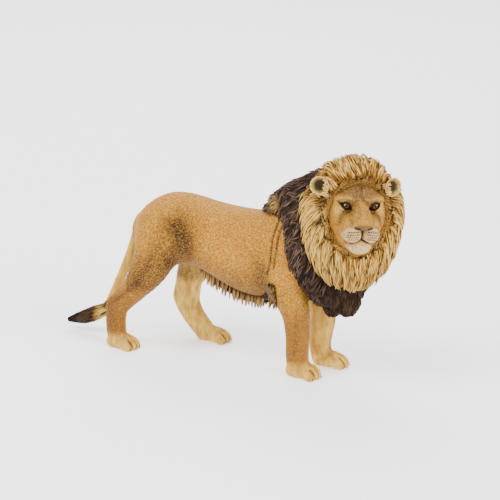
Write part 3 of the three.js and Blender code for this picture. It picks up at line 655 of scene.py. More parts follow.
def coat_paint(name):
    """Short fur on painted vinyl: grains of lighter and darker tan, a brown wash with painted shade in the hollows
    that the grains break up, cream where the coat is pale."""
    c = colours()
    p = Paint(name, 0.62, 0.18)
    fine = p.speckle(p.place, sizes().fur_grain, 2.0, 0.6, (0.8, 1.0, 1.0))
    base = p.over(p.spread(p.speckle(p.place, 0.005), 0.35, 0.65), c.coat_tan, c.coat_gold)
    base = p.over(p.field("golden"), base, c.coat_amber)
    smooth = p.sum("ADD", p.sum("MULTIPLY", p.field("golden"), -0.45), 0.65)
    base = p.over(p.spread(fine, 0.5, 0.64, smooth), base, c.coat_light)
    base = p.over(p.spread(fine, 0.5, 0.36, smooth), base, c.coat_grain)
    streaks = p.speckle(p.place, 0.0018, 3.0, stretch=(1.0, 1.0, 0.4))
    base = p.over(p.field("pale"), base, p.over(p.spread(streaks, 0.3, 0.7), c.pale_cream, c.pale_shade))
    base = p.washed_and_shaded(base, fine, 0.66, 0.4, 0.45, 0.78, c.wash_and_shade_brown)
    return p.done(p.over(p.field("claw"), base, c.claw_dark), fine, sizes().fur_depth)


def hair_paint(name, deep, mid, high, tip_colour, tip_amount, depth):
    """Combed hair: dark in the grooves and at the roots, brown wash with painted shade, lighter on the ridges, brushed
    dry along the strands, paler tips.
    """
    c = colours()
    p = Paint(name, 0.7, 0.08)
    hair = p.field("hair", "Vector")
    fine = p.speckle(hair, 1.0, 2.0, 0.6, (3.2, 0.3, 9.0))
    lock = p.speckle(hair, 1.0, 1.0, stretch=(0.4, 0.1, 23.0))
    body = p.over(p.spread(lock, 0.4, 0.6), mid, high)
    body = p.over(p.spread(fine, 0.48, 0.64, 0.8), body, tip_colour)
    body = p.over(p.spread(p.field("tip"), 0.4, 1.0, tip_amount), body, tip_colour)
    body = p.over(p.field("cream"), body, p.over(p.spread(fine, 0.3, 0.7), c.ruff_cream, c.ruff_gold))
    # Grooves and the undersides of the locks take the deep colour: brown wash and painted shade
    groove = p.spread(p.field("ridge"), 0.8, 0.3, 0.96)
    groove = p.sum("MAXIMUM", groove, p.spread(fine, 0.46, 0.26, 0.85))
    body = p.over(p.field("root"), p.over(groove, body, deep), deep)
    return p.done(body, fine, depth)


def hair_piece(name, parts, coat, replaces, paint=None):
    """Joins the shells of one hair mass, paints it and darkens the roots of its tufts and the skin between them
    with brown wash and painted shade.
    """
    points, faces, fields = gathered(parts)
    lock = fields.pop("lock")
    fields["cream"] = np.zeros(len(points))
    fields["root"] = np.where(lock > 0.5, 0.75 * step_up(-fields["tip"], -0.42, 0.0), 0.45)
    if paint:
        fields.update(paint(points, fields))
    make_piece(name, points, faces, coat, replaces, fields)



# Body


# Along the trunk: place, top line, belly line, half width
TRUNK = through(
    [
        (-37.6, 44.9, 34.4, 5.2), (-34.6, 48.4, 31.8, 7.6), (-31.0, 51.2, 30.5, 9.3), (-25.9, 53.4, 30.2, 10.4),
        (-20.0, 53.9, 30.3, 10.2), (-14.0, 53.2, 29.8, 10.0), (-10.0, 52.5, 28.3, 10.3), (-4.0, 51.8, 25.9, 11.0),
        (2.0, 51.5, 24.0, 11.5), (8.0, 51.6, 23.3, 11.8), (13.0, 52.1, 24.4, 11.7), (19.0, 53.6, 26.8, 11.3),
        (26.0, 54.6, 28.6, 10.3), (31.0, 53.5, 31.5, 8.2),
    ],
    130,
)
# How far the trunk is rounded off beyond its last places
RUMP_CAP = 1.9
CHEST_CAP = 4.0
# Inside the mane: place, half width, half depth
NECK = np.array([(21.0, -0.4, 39.0, 7.5, 7.5), (33.0, -2.7, 46.4, 7.5, 7.5)])

# Each leg: the middle of its paw and how far the paw turns out in degrees, where the leg meets the trunk and
# the direction down it there, then stations down the leg: place, half width and half depth
LEGS = {
    "right_hind_leg": ((-39.6, -10.2, 0.0), (-30.65, -9.5, 27.4), (-0.494, -0.066, -0.867), [
        (-25.2, -6.0, 44.0, 5.3, 8.0), (-26.3, -7.9, 37.0, 5.3, 7.6), (-29.6, -9.2, 29.0, 4.9, 6.3),
        (-34.6, -9.8, 21.8, 3.8, 4.35), (-40.3, -10.0, 15.8, 3.2, 3.7), (-41.9, -10.0, 11.8, 3.0, 3.6),
        (-42.1, -10.0, 7.2, 2.95, 3.5), (-41.6, -10.2, 3.6, 3.0, 3.3),
    ]),
    "left_hind_leg": ((-15.7, 10.1, 5.4), (-21.12, 9.27, 27.89), (-0.279, 0.046, -0.959), [
        (-24.0, 6.0, 44.0, 5.3, 8.6), (-22.8, 7.9, 36.1, 5.1, 8.4), (-21.6, 9.0, 29.0, 4.6, 7.0),
        (-24.6, 9.4, 22.0, 3.8, 4.8), (-25.9, 9.6, 14.6, 3.3, 4.6), (-24.4, 9.7, 10.2, 3.1, 4.1),
        (-21.9, 9.9, 6.6, 3.0, 3.8), (-19.6, 10.1, 4.0, 3.1, 3.5),
    ]),
    "right_foreleg": ((26.3, -7.0, 0.0), (22.99, -7.31, 23.98), (0.398, 0.035, -0.917), [
        (21.5, -5.6, 42.0, 4.8, 7.2), (20.1, -7.0, 33.2, 5.0, 6.5), (21.7, -7.3, 27.1, 4.7, 5.5),
        (23.8, -7.2, 21.0, 4.2, 4.6), (24.3, -7.0, 14.1, 3.65, 4.0), (24.2, -7.0, 8.0, 3.5, 3.75),
        (24.4, -7.0, 4.0, 3.55, 3.65),
    ]),
    "left_foreleg": ((29.8, 6.5, 9.0), (25.03, 7.1, 23.74), (0.455, -0.027, -0.89), [
        (21.5, 5.6, 42.0, 4.8, 7.2), (21.5, 7.0, 33.2, 4.9, 6.4), (23.4, 7.1, 27.1, 4.5, 5.3),
        (26.2, 7.0, 20.6, 4.1, 4.45), (26.4, 6.8, 14.1, 3.6, 3.9), (25.8, 6.6, 8.0, 3.35, 3.55),
        (26.3, 6.5, 4.0, 3.4, 3.5),
    ]),
}
LEG_PATHS = {name: through(leg[3], 30) for name, leg in LEGS.items()}
# Along the paw, height, half width, half depth
PAD = [(-4.0, 2.1, 2.4, 1.9), (-2.1, 2.6, 3.1, 2.4), (0.3, 2.8, 3.6, 2.6), (2.4, 2.4, 3.5, 2.1), (3.5, 1.8, 3.1, 1.6)]
PAD = np.insert(through(PAD, 10), 1, 0, axis=1)
# The inner and outer toe of one side, back to front: along, across, height, half width, half depth
TOES = [
    [(0.8, 0.95, 3.5, 1.1, 1.1), (2.6, 1.1, 3.0, 1.3, 1.4), (4.1, 1.15, 2.1, 1.3, 1.45), (4.8, 1.15, 1.4, 1.0, 1.1)],
    [(0.2, 2.2, 2.9, 0.95, 1.0), (1.9, 2.75, 2.5, 1.2, 1.3), (3.2, 2.95, 1.8, 1.2, 1.3), (3.8, 3.0, 1.2, 1.0, 1.0)],
]
TOES = [through(toe, 8) * (1, side, 1, 1, 1) for toe in TOES for side in (1, -1)]
TOE_FOLDS = (0.0, 2.05, -2.05)
PAW_REACH = (9, 8, 9)  # from the middle of its print


def paw_directions(name):
    """The middle of a paw, the direction along it and the direction across it."""
    x, y, turn = LEGS[name][0]
    c, s = np.cos(np.radians(turn)), np.sin(np.radians(turn))
    return np.array([x, y, 0.0]), np.array([[c, s, 0.0], [-s, c, 0.0], [0.0, 0.0, 1.0]])


def in_paw(name, p):
    """Points turned into a paw's own directions: along it, across it and up."""
    middle, ways = paw_directions(name)
    return (p - middle) @ ways.T


def trunk_field(p):
    """An egg-shaped section at each place along the trunk, rounded off at the rump and the chest."""
    x = np.clip(p[:, 0], TRUNK[0, 0], TRUNK[-1, 0])
    top, belly, wide = (np.interp(x, TRUNK[:, 0], TRUNK[:, k]) for k in (1, 2, 3))
    beyond = p[:, 0] - x
    cap = np.where(beyond < 0, RUMP_CAP, CHEST_CAP)
    rise = p[:, 2] - (top + belly) / 2
    # The ribs are fullest below the middle, and the back is narrower
    wide = wide * (1 - 0.1 * np.clip(rise / (top - belly), -0.5, 0.5))
    return oval_field((p[:, 1], rise, beyond), (wide, (top - belly) / 2, cap))


def paw_field(name, p):
    """The pad and four toes, with folds between the toes that run back over the knuckles."""
    q = in_paw(name, p)
    toes = np.full(len(q), FAR)
    for toe in TOES:
        toes = merge(toes, sweep_field(q, toe), 0.5)
    total = merge(sweep_field(q, PAD), toes, 0.9)
    for fold in TOE_FOLDS:
        line = [(2.2, fold * 0.9, 4.6), (3.6, fold, 3.8), (5.0, fold * 1.02, 2.4), (5.4, fold * 1.02, 0.6)]
        total = total + 0.36 * crease(q, line, 0.34)
    return total


def opposite(line, shift):
    """A line drawn on the right flank, set on the left one, where the hind leg stands further ahead."""
    return [(x + shift, -y, z) for x, y, z in line]


def on_both(p, table, shift):
    """Sum of mounds that are given on the right flank and set on both."""
    left = [(share, (x + shift * (x < 0), -y, z), reach) for share, (x, y, z), reach in table]
    return mounds(p, table) + mounds(p, left)


MANE_FOLDS = [
    [(17.0, 56.0), (17.0, 46.1), (17.2, 38.9), (15.8, 34.5)],
    [(18.8, 56.0), (18.9, 50.0), (19.1, 43.1), (18.6, 37.5)],
]
FLANK = [(-19.8, -11, 47.4), (-16.9, -11, 45.0), (-15.0, -11, 41.2), (-15.4, -11, 37.2), (-18.4, -11, 33.0)]
FLANK_SHADE = [(-18.0, -11, 46.2), (-16.4, -11, 43.4), (-15.5, -11, 39.6), (-16.0, -11, 35.4), (-17.6, -11, 32.6)]
HAM = [(-20.6, -13, 43.4), (-22.9, -13.5, 39.0), (-25.6, -13.8, 34.8), (-28.3, -13.8, 30.4), (-30.9, -13.5, 26.6)]
HAMS = [HAM, opposite(HAM, 4.0)]
HEEL_CORD = [(-30.3, -13.9, 26.0), (-35.0, -13.4, 22.2), (-39.0, -12.9, 18.8), (-43.2, -12.5, 16.2)]
# Muscles on both flanks, given on the right one: how far they stand out, middle, reach
MUSCLES = [
    (0.8, (-29, -12.0, 42), (7, 4, 7)),
    (0.7, (-24, -12.5, 33), (4.5, 4, 6)),
    (0.6, (19.5, -11.5, 38), (4.5, 4, 7)),
    (0.5, (22.5, -11.5, 47), (2.8, 4, 8)),
    (0.7, (16.2, -10.5, 30.2), (2.2, 3, 2.6)),
    (-0.7, (13.6, -11.0, 33.5), (2.6, 4, 5.5)),
]
# Heels, wrists and the tail's root in the same way
JOINTS = [
    (1.1, (-44.2, -10, 15.4), (1.9, 2.2, 2.4)),
    (0.7, (-29.8, 9.7, 14.6), (1.9, 2.2, 2.4)),
    (0.35, (27.9, -7, 15.0), (1.6, 2.2, 2.4)),
    (0.35, (29.8, 6.8, 15.4), (1.6, 2.2, 2.4)),
    (0.5, (-36.6, 0, 45.6), (3.0, 2.4, 3.0)),
]
# Grooves of the legs and flanks: depth, line, width
GROOVES = [
    (0.5, HEEL_CORD, 1.0),
    (0.4, [(-24.5, 12.8, 23.5), (-27.0, 12.5, 18.0), (-28.0, 12.2, 14.8)], 1.1),
    (0.4, [(27.0, -11.2, 31), (25.9, -11.4, 21), (24.6, -11.0, 11)], 1.1),
    (0.35, [(28.6, 2.6, 24), (28.0, 2.8, 16), (27.6, 2.9, 9)], 1.1),
]
GROOVES += [(1.25, line, 3.1) for line in (FLANK, opposite(FLANK, 4.2))] + [(0.65, line, 1.9) for line in HAMS]
# Brown wash and painted shade: share, line and width of its soft bands, then its spots on both flanks
WASH_AND_SHADE_BANDS = [
    (0.4, HEEL_CORD, 0.6),
    (0.1, HEEL_CORD, 2.2),
    (0.35, [(-42.5, -13, 13.5), (-42.2, -13, 8.5)], 1.6),
    (0.5, [(26.8, -11.2, 30), (25.9, -11.4, 20), (24.8, -11.0, 9)], 0.8),
]
for line in (FLANK_SHADE, opposite(FLANK_SHADE, 4.2)):
    WASH_AND_SHADE_BANDS += [(1.1, line, 2.3), (0.95, line, 4.2), (0.2, line, 7.0)]
for line in HAMS:
    WASH_AND_SHADE_BANDS += [(0.35, line, 1.3), (0.15, line, 3.2)]
WASH_AND_SHADE_SPOTS = [
    (0.3, (-20.5, -12, 34.5), (4.5, 6, 5.0)),
    (0.65, (13.2, -11.0, 35.5), (3.2, 6, 5.5)),
    (0.5, (14.4, -9.0, 29), (2.4, 6, 3)),
    (0.25, (20.8, -12, 26.3), (3, 6, 3.5)),
]


def muscles(p):
    """Swellings and hollows of the body, in millimetres, taken off the field: positive swells."""
    folds = creases(p, [(0.42, fold, 0.38) for fold in MANE_FOLDS]) * (np.abs(p[:, 1]) > 2)
    return on_both(p, MUSCLES, 4.0) + mounds(p, JOINTS) - creases(p, GROOVES) - folds


def body_field(p):
    """Trunk, neck and legs with soft fillets, and the muscles on them."""
    total = merge(trunk_field(p), near(p, NECK, 12, sweep_field), 2.0)
    for name, path in LEG_PATHS.items():
        leg = near(p, path, 13, sweep_field)
        low = (np.abs(p - paw_directions(name)[0]) < PAW_REACH).all(1)
        if low.any():
            leg[low] = merge(leg[low], paw_field(name, p[low]), 1.1)
        total = merge(total, leg, 4.2)
    return total - muscles(p)


def body_paint_fields(points, normals):
    """Where the body is washed brown with painted shade, pale and golden, from its shape and the painter's habit.
    The wash and its painted shade are a sum of soft bands along the hollows."""
    x, y, z = points.T
    # Darker in the hollows: brown wash and painted shade
    wash_and_shade = 1.1 * np.clip(hollow_share(body_field, points, normals, 1.4) - 0.16, 0, 1) * step_up(z, 4, 9)
    wash_and_shade += 0.3 * np.clip(hollow_share(body_field, points, normals, 0.7) - 0.2, 0, 1)
    wash_and_shade += on_both(points, WASH_AND_SHADE_SPOTS, 4.2) + creases(points, WASH_AND_SHADE_BANDS)
    wash_and_shade += creases(points, [(0.9, fold, 0.42) for fold in MANE_FOLDS]) * (np.abs(y) > 2)
    # The hocks and the belly line: brown wash and painted shade low on the body
    wash_and_shade += 0.1 * step_up(-x, 19, 24) * step_up(-z, -46, -40)
    wash_and_shade += 0.7 * step_up(-z, -39, -26) * (x > -36) * (x < 16) * (1 - step_up(-z, -24, -20))
    # Thin brown lines between the toes: brown wash and painted shade in the folds
    for name in LEGS:
        q = in_paw(name, points)
        for fold in TOE_FOLDS:
            line = [(3.4, fold * 0.97, 3.8), (4.4, fold, 3.0), (5.0, fold * 1.02, 2.2), (5.4, fold * 1.02, 0.4)]
            wash_and_shade += 1.3 * crease(q, line, 0.27) * (z < 6)
    # Painted shadow under the mane and inside the forelegs
    wash_and_shade += 0.9 * step_up(x, 22, 28) * step_up(z, 22, 29) * step_up(-np.abs(y), -11, -5)
    wash_and_shade += 0.5 * step_up(x, 25, 31) * step_up(z, 15, 24) * step_up(-y, 4.5, 7.5)
    # Paws and the insides of the legs are pale, most of all the far hind leg
    inner = step_up(-normals[:, 1] * np.sign(y), -0.25, 0.45) * step_up(-z, -31, -26)
    # The right paws are painted less pale than the left ones, the front one least: painted shade
    paw = step_up(-z, -7.0, -3.2) * np.where(y < 0, np.where(x > 0, 0.62, 0.78), 1.0)
    pale = np.maximum(paw, inner * (0.92 * (x < 5) + 0.55 * (x > 5)))
    far_hind = 0.9 * step_up(-z, -33, -27) * step_up(-normals[:, 1], -0.75, 0.1)
    pale = np.maximum(pale, far_hind * ((y > 3) & (x < 0)))
    # The back of the rump's top is paler: a painted highlight
    pale = np.maximum(pale, 0.4 * step_up(-x, 34.5, 38.5) * step_up(z, 36, 45))
    golden = 0.4 * step_up(-x, 33.5, 38.5) * step_up(z, 14, 30)
    golden = np.maximum(golden, 0.85 * step_up(-z, -28, -17) * (1 - pale))
    return {"wash_and_shade": 1 - np.exp(-1.15 * wash_and_shade), "pale": np.clip(pale, 0, 1), "golden": golden}


def claws(name):
    """A short dark claw at the front of each toe: a tapered, down-curved cone."""
    bend = np.array([(-0.5, 0, 0.15), (0.3, 0, 0.1), (0.68, 0, -0.15), (0.85, 0, -0.45), (0.88, 0, -0.8)])
    middle, ways = paw_directions(name)
    paths = np.array([(toe[-1, 0] + 0.3, toe[-1, 1], 1.45) + bend for toe in TOES]) @ ways + middle
    paths[..., 2] = np.maximum(paths[..., 2], SOLE + 0.12)
    outs = np.broadcast_to(UP + (0.4, 0, 0), paths.shape)
    wide, thick, chance = np.array([(0.22, 0.34, 0.0)] * len(paths)).T
    return strands(paths, outs, wide, thick, chance, lambda t: 1 - 0.75 * t, 8)


def build_body():
    """The trunk and the four legs, cut from one field at the seams between the castings."""
    coat = coat_paint("tan_fur")
    planes, legs = [], []
    for name, (paw, at, down, _) in LEGS.items():
        side = np.sign(paw[1])
        planes.append((Vector(at) - SEAM * Vector(down), Vector(down), side))
        # A box round the leg, its paw and the end of the trunk at its seat
        path = LEG_PATHS[name][:, :3]
        lower = path[(path - at) @ down > -6]
        low = np.minimum(lower.min(0) - 7, (paw[0] - 7, paw[1] - 6, -1.5))
        high = np.maximum(lower.max(0) + 7, (paw[0] + 8, paw[1] + 6, 0))
        # The box of a leg stops short of the animal's middle and of the trunk
        low[1], high[1] = (0.6, high[1]) if side > 0 else (low[1], -0.6)
        high[2] = 33.5
        cuts = [(Vector(at) + SEAM * Vector(down), -Vector(down), 0), (Vector((0, 0, SOLE)), Vector((0, 0, -1)), 0)]
        piece = name.replace("_leg", "_limb").replace("foreleg", "fore_limb")
        legs.append((piece, low, high, 0.25 * FINE, cuts, coat, name))
    body_piece("body", (-42.5, -16.5, 17.0), (38.5, 16.5, 57.5), 0.4 * FINE, planes, coat, "torso")
    for leg in legs:
        body_piece(*leg)


def body_piece(name, low, high, step, planes, coat, node):
    """Meshes one casting of the body, trims it, gives a leg its claws and paints it."""
    points, (fans, quads) = cut_flat(*skin_of(body_field, low, high, step), planes)
    normals = unit(slope_of(body_field, points, 0.16))
    fields = body_paint_fields(points, normals)
    fields["claw"] = np.zeros(len(points))
    if node in LEGS:
        tips, tip_quads, tip_fans, _ = claws(node)
        start = len(points)
        each = len(tips) // len(TOES)
        out = unit(tips - tips.reshape(-1, each, 3).mean(1).repeat(each, 0))
        points, normals = np.concatenate([points, tips]), np.concatenate([normals, out])
        quads, fans = np.concatenate([quads, tip_quads + start]), np.concatenate([fans, tip_fans + start])
        fields = {k: np.append(v, np.full(len(tips), float(k == "claw"))) for k, v in fields.items()}
    make_piece(name, points, [quads, fans], coat, (node,), fields, normals)


# Tail


# Down the tail, then the tuft: place, half thickness
TAIL = [
    (-33.6, 0.0, 46.6, 2.3), (-36.4, -0.2, 43.4, 2.2), (-38.3, -0.46, 39.4, 1.95), (-40.0, -0.97, 34.65, 1.65),
    (-42.6, -1.45, 27.5, 1.54), (-46.5, -1.96, 18.7, 1.5), (-49.6, -2.3, 12.0, 1.41),
]
TUFT = [
    (-49.0, -2.3, 12.6, 1.3), (-50.8, -2.3, 10.2, 1.6), (-54.2, -2.3, 8.2, 2.0), (-58.4, -2.3, 6.3, 2.05),
    (-62.4, -2.3, 4.9, 1.5), (-66.4, -2.3, 3.8, 0.4),
]


def round_skin(stations, count):
    """A round tube's skin, from places and half thicknesses."""
    s = np.array(stations)
    return Skin(swept_net(through(np.concatenate([s, s[:, 3:]], 1), count)))


def build_tail():
    """A smooth tapering rope, darker at its end, and a carved tuft with loose strands over it."""
    smooth = lambda a, b: (0.05 * cloud(b * 16, a * 40, 16, 3), 0 * a)
    points, quads, fans, fields = carved_skin(round_skin(TAIL, 16), 120, 36, smooth)
    wash_and_shade = 0.375 * step_up(fields["tip"] * 2, 0.86, 1.0)
    # The whole rope is half pale: a painted highlight of the light from above
    fields = {"golden": 0.1 + 0 * wash_and_shade, "wash_and_shade": wash_and_shade, "pale": 0.5 + 0 * wash_and_shade, "claw": 0 * wash_and_shade}
    make_piece("tail_rope", points, [quads, fans], coat_paint("tail_fur"), ("tail",), fields)

    core = round_skin(TUFT, 12)
    parts = [carved_skin(core, 70, 120, combed(9, 21, lambda a, b: 0.1 * a, 0.45))]
    luck = np.random.default_rng(5)
    count = 90
    a, b = luck.uniform(0.6, 6.5, count), luck.uniform(0, core.columns, count)
    length = luck.uniform(4.5, 8.0, count)
    way = unit(np.array([-15.4, 0, -7.4]))
    paths, outs = combed_paths(core, a, b, length, lambda p, n: way + 0 * p, 8, 0.22, 6, 0.18, 0.1)
    wide, thick = luck.uniform(0.32, 0.6, count), luck.uniform(0.25, 0.4, count)
    parts.append(strands(paths, outs, wide, thick, luck.random(count), lock_shape))
    c = colours()
    coat = hair_paint("tuft_hair", c.dark_groove_and_shade, c.dark_hair, c.chest_dry, c.chest_dry, 0.25, 0.12)
    root = lambda points, fields: {"cream": 0.9 * step_up(points[:, 0], -55.5, -51.5)}
    hair_piece("tail_tuft_hair", parts, coat, ("tail_tuft",), root)



# Fringe under the belly


# Back to front along the keel: place, half thickness, half depth
KEEL = [
    (-14.4, 0.0, 28.6, 0.7, 1.3),
    (-12.0, 0.0, 27.0, 1.6, 2.2),
    (-8.9, 0.0, 25.6, 2.0, 2.7),
    (-3.7, -0.25, 23.6, 2.2, 2.7),
    (1.3, -0.8, 22.3, 2.2, 2.6),
    (4.9, -1.5, 21.9, 2.2, 2.4),
    (8.8, -2.55, 22.2, 2.0, 2.2),
    (11.4, -3.5, 23.2, 1.6, 2.3),
]
# The knot of hair behind the right elbow, in the same way
KNOT = [
    (10.4, -3.2, 24.4, 1.1, 1.1), (12.7, -5.1, 25.2, 1.3, 1.3),
    (14.9, -7.1, 27.2, 1.3, 1.3), (16.2, -8.2, 29.8, 0.8, 0.8),
]


def flank_side(x, z):
    """How far out the right flank lies at each (x, z), found by halving the way from outside to inside."""
    outer, inner = np.full(len(x), -17.0), np.full(len(x), -8.4)
    for _ in range(14):
        middle = (outer + inner) / 2
        inside = body_field(np.stack([x, middle, z], 1)) < 0
        inner, outer = np.where(inside, middle, inner), np.where(inside, outer, middle)
    return inner


TEETH = 23
TOOTH_STRANDS = 15  # in each, as three files of five


def build_fringe():
    """Teeth of strands that hang from the keel, and hair that runs up behind the right elbow."""
    luck = np.random.default_rng(31)
    keel = through(KEEL, 20) + (0, 0, 1.0, 0, 0)
    keel[:, 3:] *= (0.7, 0.75)
    waves = lambda a: np.abs(np.sin(2 * np.pi * TEETH * a))
    parts = [carved_skin(Skin(swept_net(keel, columns=24)), 220, 40, lambda a, b: (0.35 * waves(a) ** 0.6, waves(a)))]
    # Hanging strands: straight down from the belly, spread across the keel
    line = through(KEEL, 400)
    count = TEETH * TOOTH_STRANDS
    share = (np.arange(count) // TOOTH_STRANDS + 0.5 + luck.uniform(-0.25, 0.25, count)) / TEETH
    at = line[np.clip(share * (len(line) - 1), 0, len(line) - 1).astype(int)]
    row = np.tile([-0.95, 0.0, 0.95], count // 3) + luck.uniform(-0.12, 0.12, count)
    root = at[:, :3] + np.stack([0 * row, row * at[:, 3] * 0.9, at[:, 4] * (1.2 - 0.25 * np.abs(row))], 1)
    drop = at[:, 4] * (2.2 - 0.25 * np.abs(row)) * luck.uniform(0.86, 1.03, count)
    drop *= np.repeat(luck.uniform(0.88, 1.04, TEETH), TOOTH_STRANDS)
    t = np.linspace(0, 1, 6)[:, None]
    lean = np.repeat(luck.normal(-0.3, 0.25, TEETH), TOOTH_STRANDS) + luck.normal(0, 0.08, count)
    lean = np.stack([lean, row * 0.2, 0 * row], 1)[:, None]
    paths = root[:, None] + lean * t**1.5 - UP * drop[:, None, None] * t
    outs = np.stack([0 * row, np.where(row < 0, -1.0, 1.0), 0.15 + 0 * row], 1)[:, None]
    wide = luck.uniform(0.2, 0.3, count)
    blunt = lambda t: np.clip(0.8 + t, 0, 1) * np.clip((1.05 - t) / 0.35, 0.15, 1) ** 0.6
    parts.append(strands(paths, np.broadcast_to(outs, paths.shape), wide, wide * 0.9, luck.random(count), blunt))
    # Hair behind the right elbow
    count = 110
    t = np.linspace(0, 1, 8)
    length = luck.uniform(3.4, 5.2, (count, 1))
    x = luck.uniform(15.9, 19.0, (count, 1)) - 0.35 * length * t
    x += 0.25 * np.sin(5 * t + luck.uniform(0, 6, (count, 1)))
    z = luck.uniform(26.4, 32.2, (count, 1)) - length * t
    y = flank_side(x.ravel(), z.ravel()).reshape(x.shape) - 0.1 - 0.45 * np.sin(np.pi * (0.1 + 0.8 * t))
    paths = np.stack([x, y, z], -1)
    outs = np.broadcast_to(unit(np.array([-0.3, -1.0, 0.0])), paths.shape)
    wide = luck.uniform(0.22, 0.36, count)
    parts.append(strands(paths, outs, wide, wide * 0.9, luck.random(count), lock_shape))
    parts.append(carved_skin(Skin(swept_net(through(KNOT, 9))), 50, 72, combed(8, 44, lambda a, b: 0 * a, 0.4)))
    c = colours()
    coat = hair_paint("fringe_hair", c.dark_groove_and_shade, c.fringe_brown, c.fringe_dry, c.fringe_dry, 0.6, 0.12)

    def paint(points, fields):
        shaded = step_up(points[:, 0], 12, 15) * (1.0 - 0.5 * fields["ridge"])
        return {"root": np.clip(fields["root"] + shaded, 0, 0.9)}

    hair_piece("belly_fringe_hair", parts, coat, ("belly_fringe",), paint)


# Mane


NECK_BASE = np.array([19.0, 0.0, 37.5])
MANE_FRONT = on_head(-0.25, -2.83, -1.0)
REAR_FACING = np.array([np.cos(np.radians(34)), 0.0, np.sin(np.radians(34))])
# Along the neck, how far the section has turned to the head, half width, half height, how narrow its top is
DARK_MANE = [
    (0.0, 0.0, 6.1, 17.2, 0.5),
    (0.12, 0.08, 8.6, 18.2, 0.5),
    (0.25, 0.17, 11.2, 19.4, 0.48),
    (0.37, 0.25, 13.0, 20.2, 0.36),
    (0.5, 0.34, 14.3, 20.8, 0.12),
    (0.75, 0.52, 15.4, 20.9, 0.0),
    (0.92, 0.65, 15.2, 20.2, 0.0),
    (1.0, 0.7, 13.2, 18.0, 0.0),
]
# The hair below the chest: a root inside the mane and two hanging clumps
CHEST_HAIR = [
    [
        (37.4, -1.8, 36.0, 9.0, 6.4), (37.4, -1.8, 32.0, 9.2, 6.6),
        (37.2, -1.8, 28.0, 7.8, 5.6), (37.0, -1.8, 25.0, 5.0, 4.0),
    ],
    [
        (35.0, 0.6, 31.0, 4.6, 3.4), (34.1, 0.3, 26.4, 4.5, 3.3),
        (33.6, 0.0, 23.0, 3.6, 2.7), (33.2, 0.0, 20.4, 1.4, 1.2),
    ],
    [
        (40.0, -3.4, 32.4, 4.6, 3.4), (40.3, -3.7, 28.0, 4.6, 3.4),
        (40.4, -3.9, 25.0, 3.7, 2.8), (40.6, -4.0, 22.6, 1.6, 1.3),
    ],
]


def dark_mane_skin():
    """Ovals carried from the withers to the back of the head, the first ones drawn in above the middle."""
    rows = []
    rise = np.clip(turned(24)[1], 0, 1)
    for along, turn, wide, high, pinch in DARK_MANE:
        facing = unit(REAR_FACING * (1 - turn) + HEAD_FORWARD * turn)
        across = unit(np.array([0, 1.0, 0]) - facing[1] * facing)
        middle = NECK_BASE + (MANE_FRONT - NECK_BASE) * along
        wide = (wide - 0.7) * (1 - pinch * step_up(rise, 0, 0.6))
        crest = high - 0.7 + 1.4 * (1 - step_up(along, 0.3, 0.8))
        rows.append(ring_net(middle, across, np.cross(facing, across), wide, crest, high - 0.7))
    return Skin(rows)


def build_dark_mane():
    """The dark back of the mane in nine rows of tufts, and the hair that hangs below the chest."""
    luck = np.random.default_rng(77)
    skin = dark_mane_skin()
    drift = lambda a, b: -0.07 * a * np.cos(2 * np.pi * b)
    parts = [carved_skin(skin, 72 // FINE, 400 // FINE, combed(34, 12, drift, 0.8))]

    def flow(p, n):
        low = step_up(-p[..., 2:3], -46, -28)
        ahead = 0.55 * REAR_FACING + 0.45 * HEAD_FORWARD
        return -UP + ahead * (-0.8 + 0.55 * low) + 0.25 * n

    for k, start in enumerate(np.linspace(6.2, 0.9, 9)):
        count = 48
        a = start + luck.uniform(-0.35, 0.35, count)
        b = (np.arange(count) + luck.uniform(-0.4, 0.4, count)) / count * skin.columns
        length = luck.uniform(3.4, 6.0, count)
        parts.append(tufts(skin, a, b, length, flow, 200 + 10 * k, 4, 1.5, (0.16, 0.28), 0.85, 6, 0.7))
    # The crest stands up where the mane starts behind the withers
    a, b = luck.uniform(0.7, 2.2, 30), 6 + luck.normal(0, 1.0, 30)
    back = lambda p, n: -REAR_FACING + 0.3 * UP + 0.1 * n
    parts.append(tufts(skin, a, b, luck.uniform(2.0, 3.2, 30), back, 290, 4, 0.9, (0.26, 0.4), 1.2, 6, 0.4))
    c = colours()
    coat = hair_paint("dark_mane_hair", c.dark_groove_and_shade, c.dark_hair, c.dark_dry, c.dark_dry, 0.35, 0.14)

    def paint(points, fields):
        tan_tuft = mound(points, (14.2, -4.0, 55.0), (2.4, 3.5, 2.0))
        # Lower down, the mane is painted darker towards the bottom
        low = 0.75 * step_up(-points[:, 2], -44, -33) * (1 - 0.4 * fields["ridge"])
        return {"cream": np.clip(0.8 * tan_tuft, 0, 0.6), "root": np.clip(fields["root"] + low, 0, 0.95)}

    hair_piece("dark_mane_hair", parts, coat, ("dark_mane",), paint)

    parts = []
    for k, stalk in enumerate(CHEST_HAIR):
        core = Skin(swept_net(through(stalk, 9)))
        relief = combed(13, 50 + k, lambda a, b: 0.05 * a, 0.6)
        parts.append(carved_skin(core, 50 // FINE, 160 // FINE, relief))
        count = 60 if k == 0 else 50
        a, b = luck.uniform(0, 5.2, count), luck.random(count) * core.columns
        fall = lambda p, n: -UP + 0.12 * n
        length = luck.uniform(2.8, 5.0, count)
        parts.append(tufts(core, a, b, length, fall, 300 + 10 * k, 4, 0.9, (0.2, 0.34), 0.6, 7, 0.6))
    coat = hair_paint("chest_hair", c.dark_groove_and_shade, c.dark_hair, c.chest_dry, c.chest_dry, 0.25, 0.14)
    hair_piece("chest_mane_hair", parts, coat, ("chest_mane",))


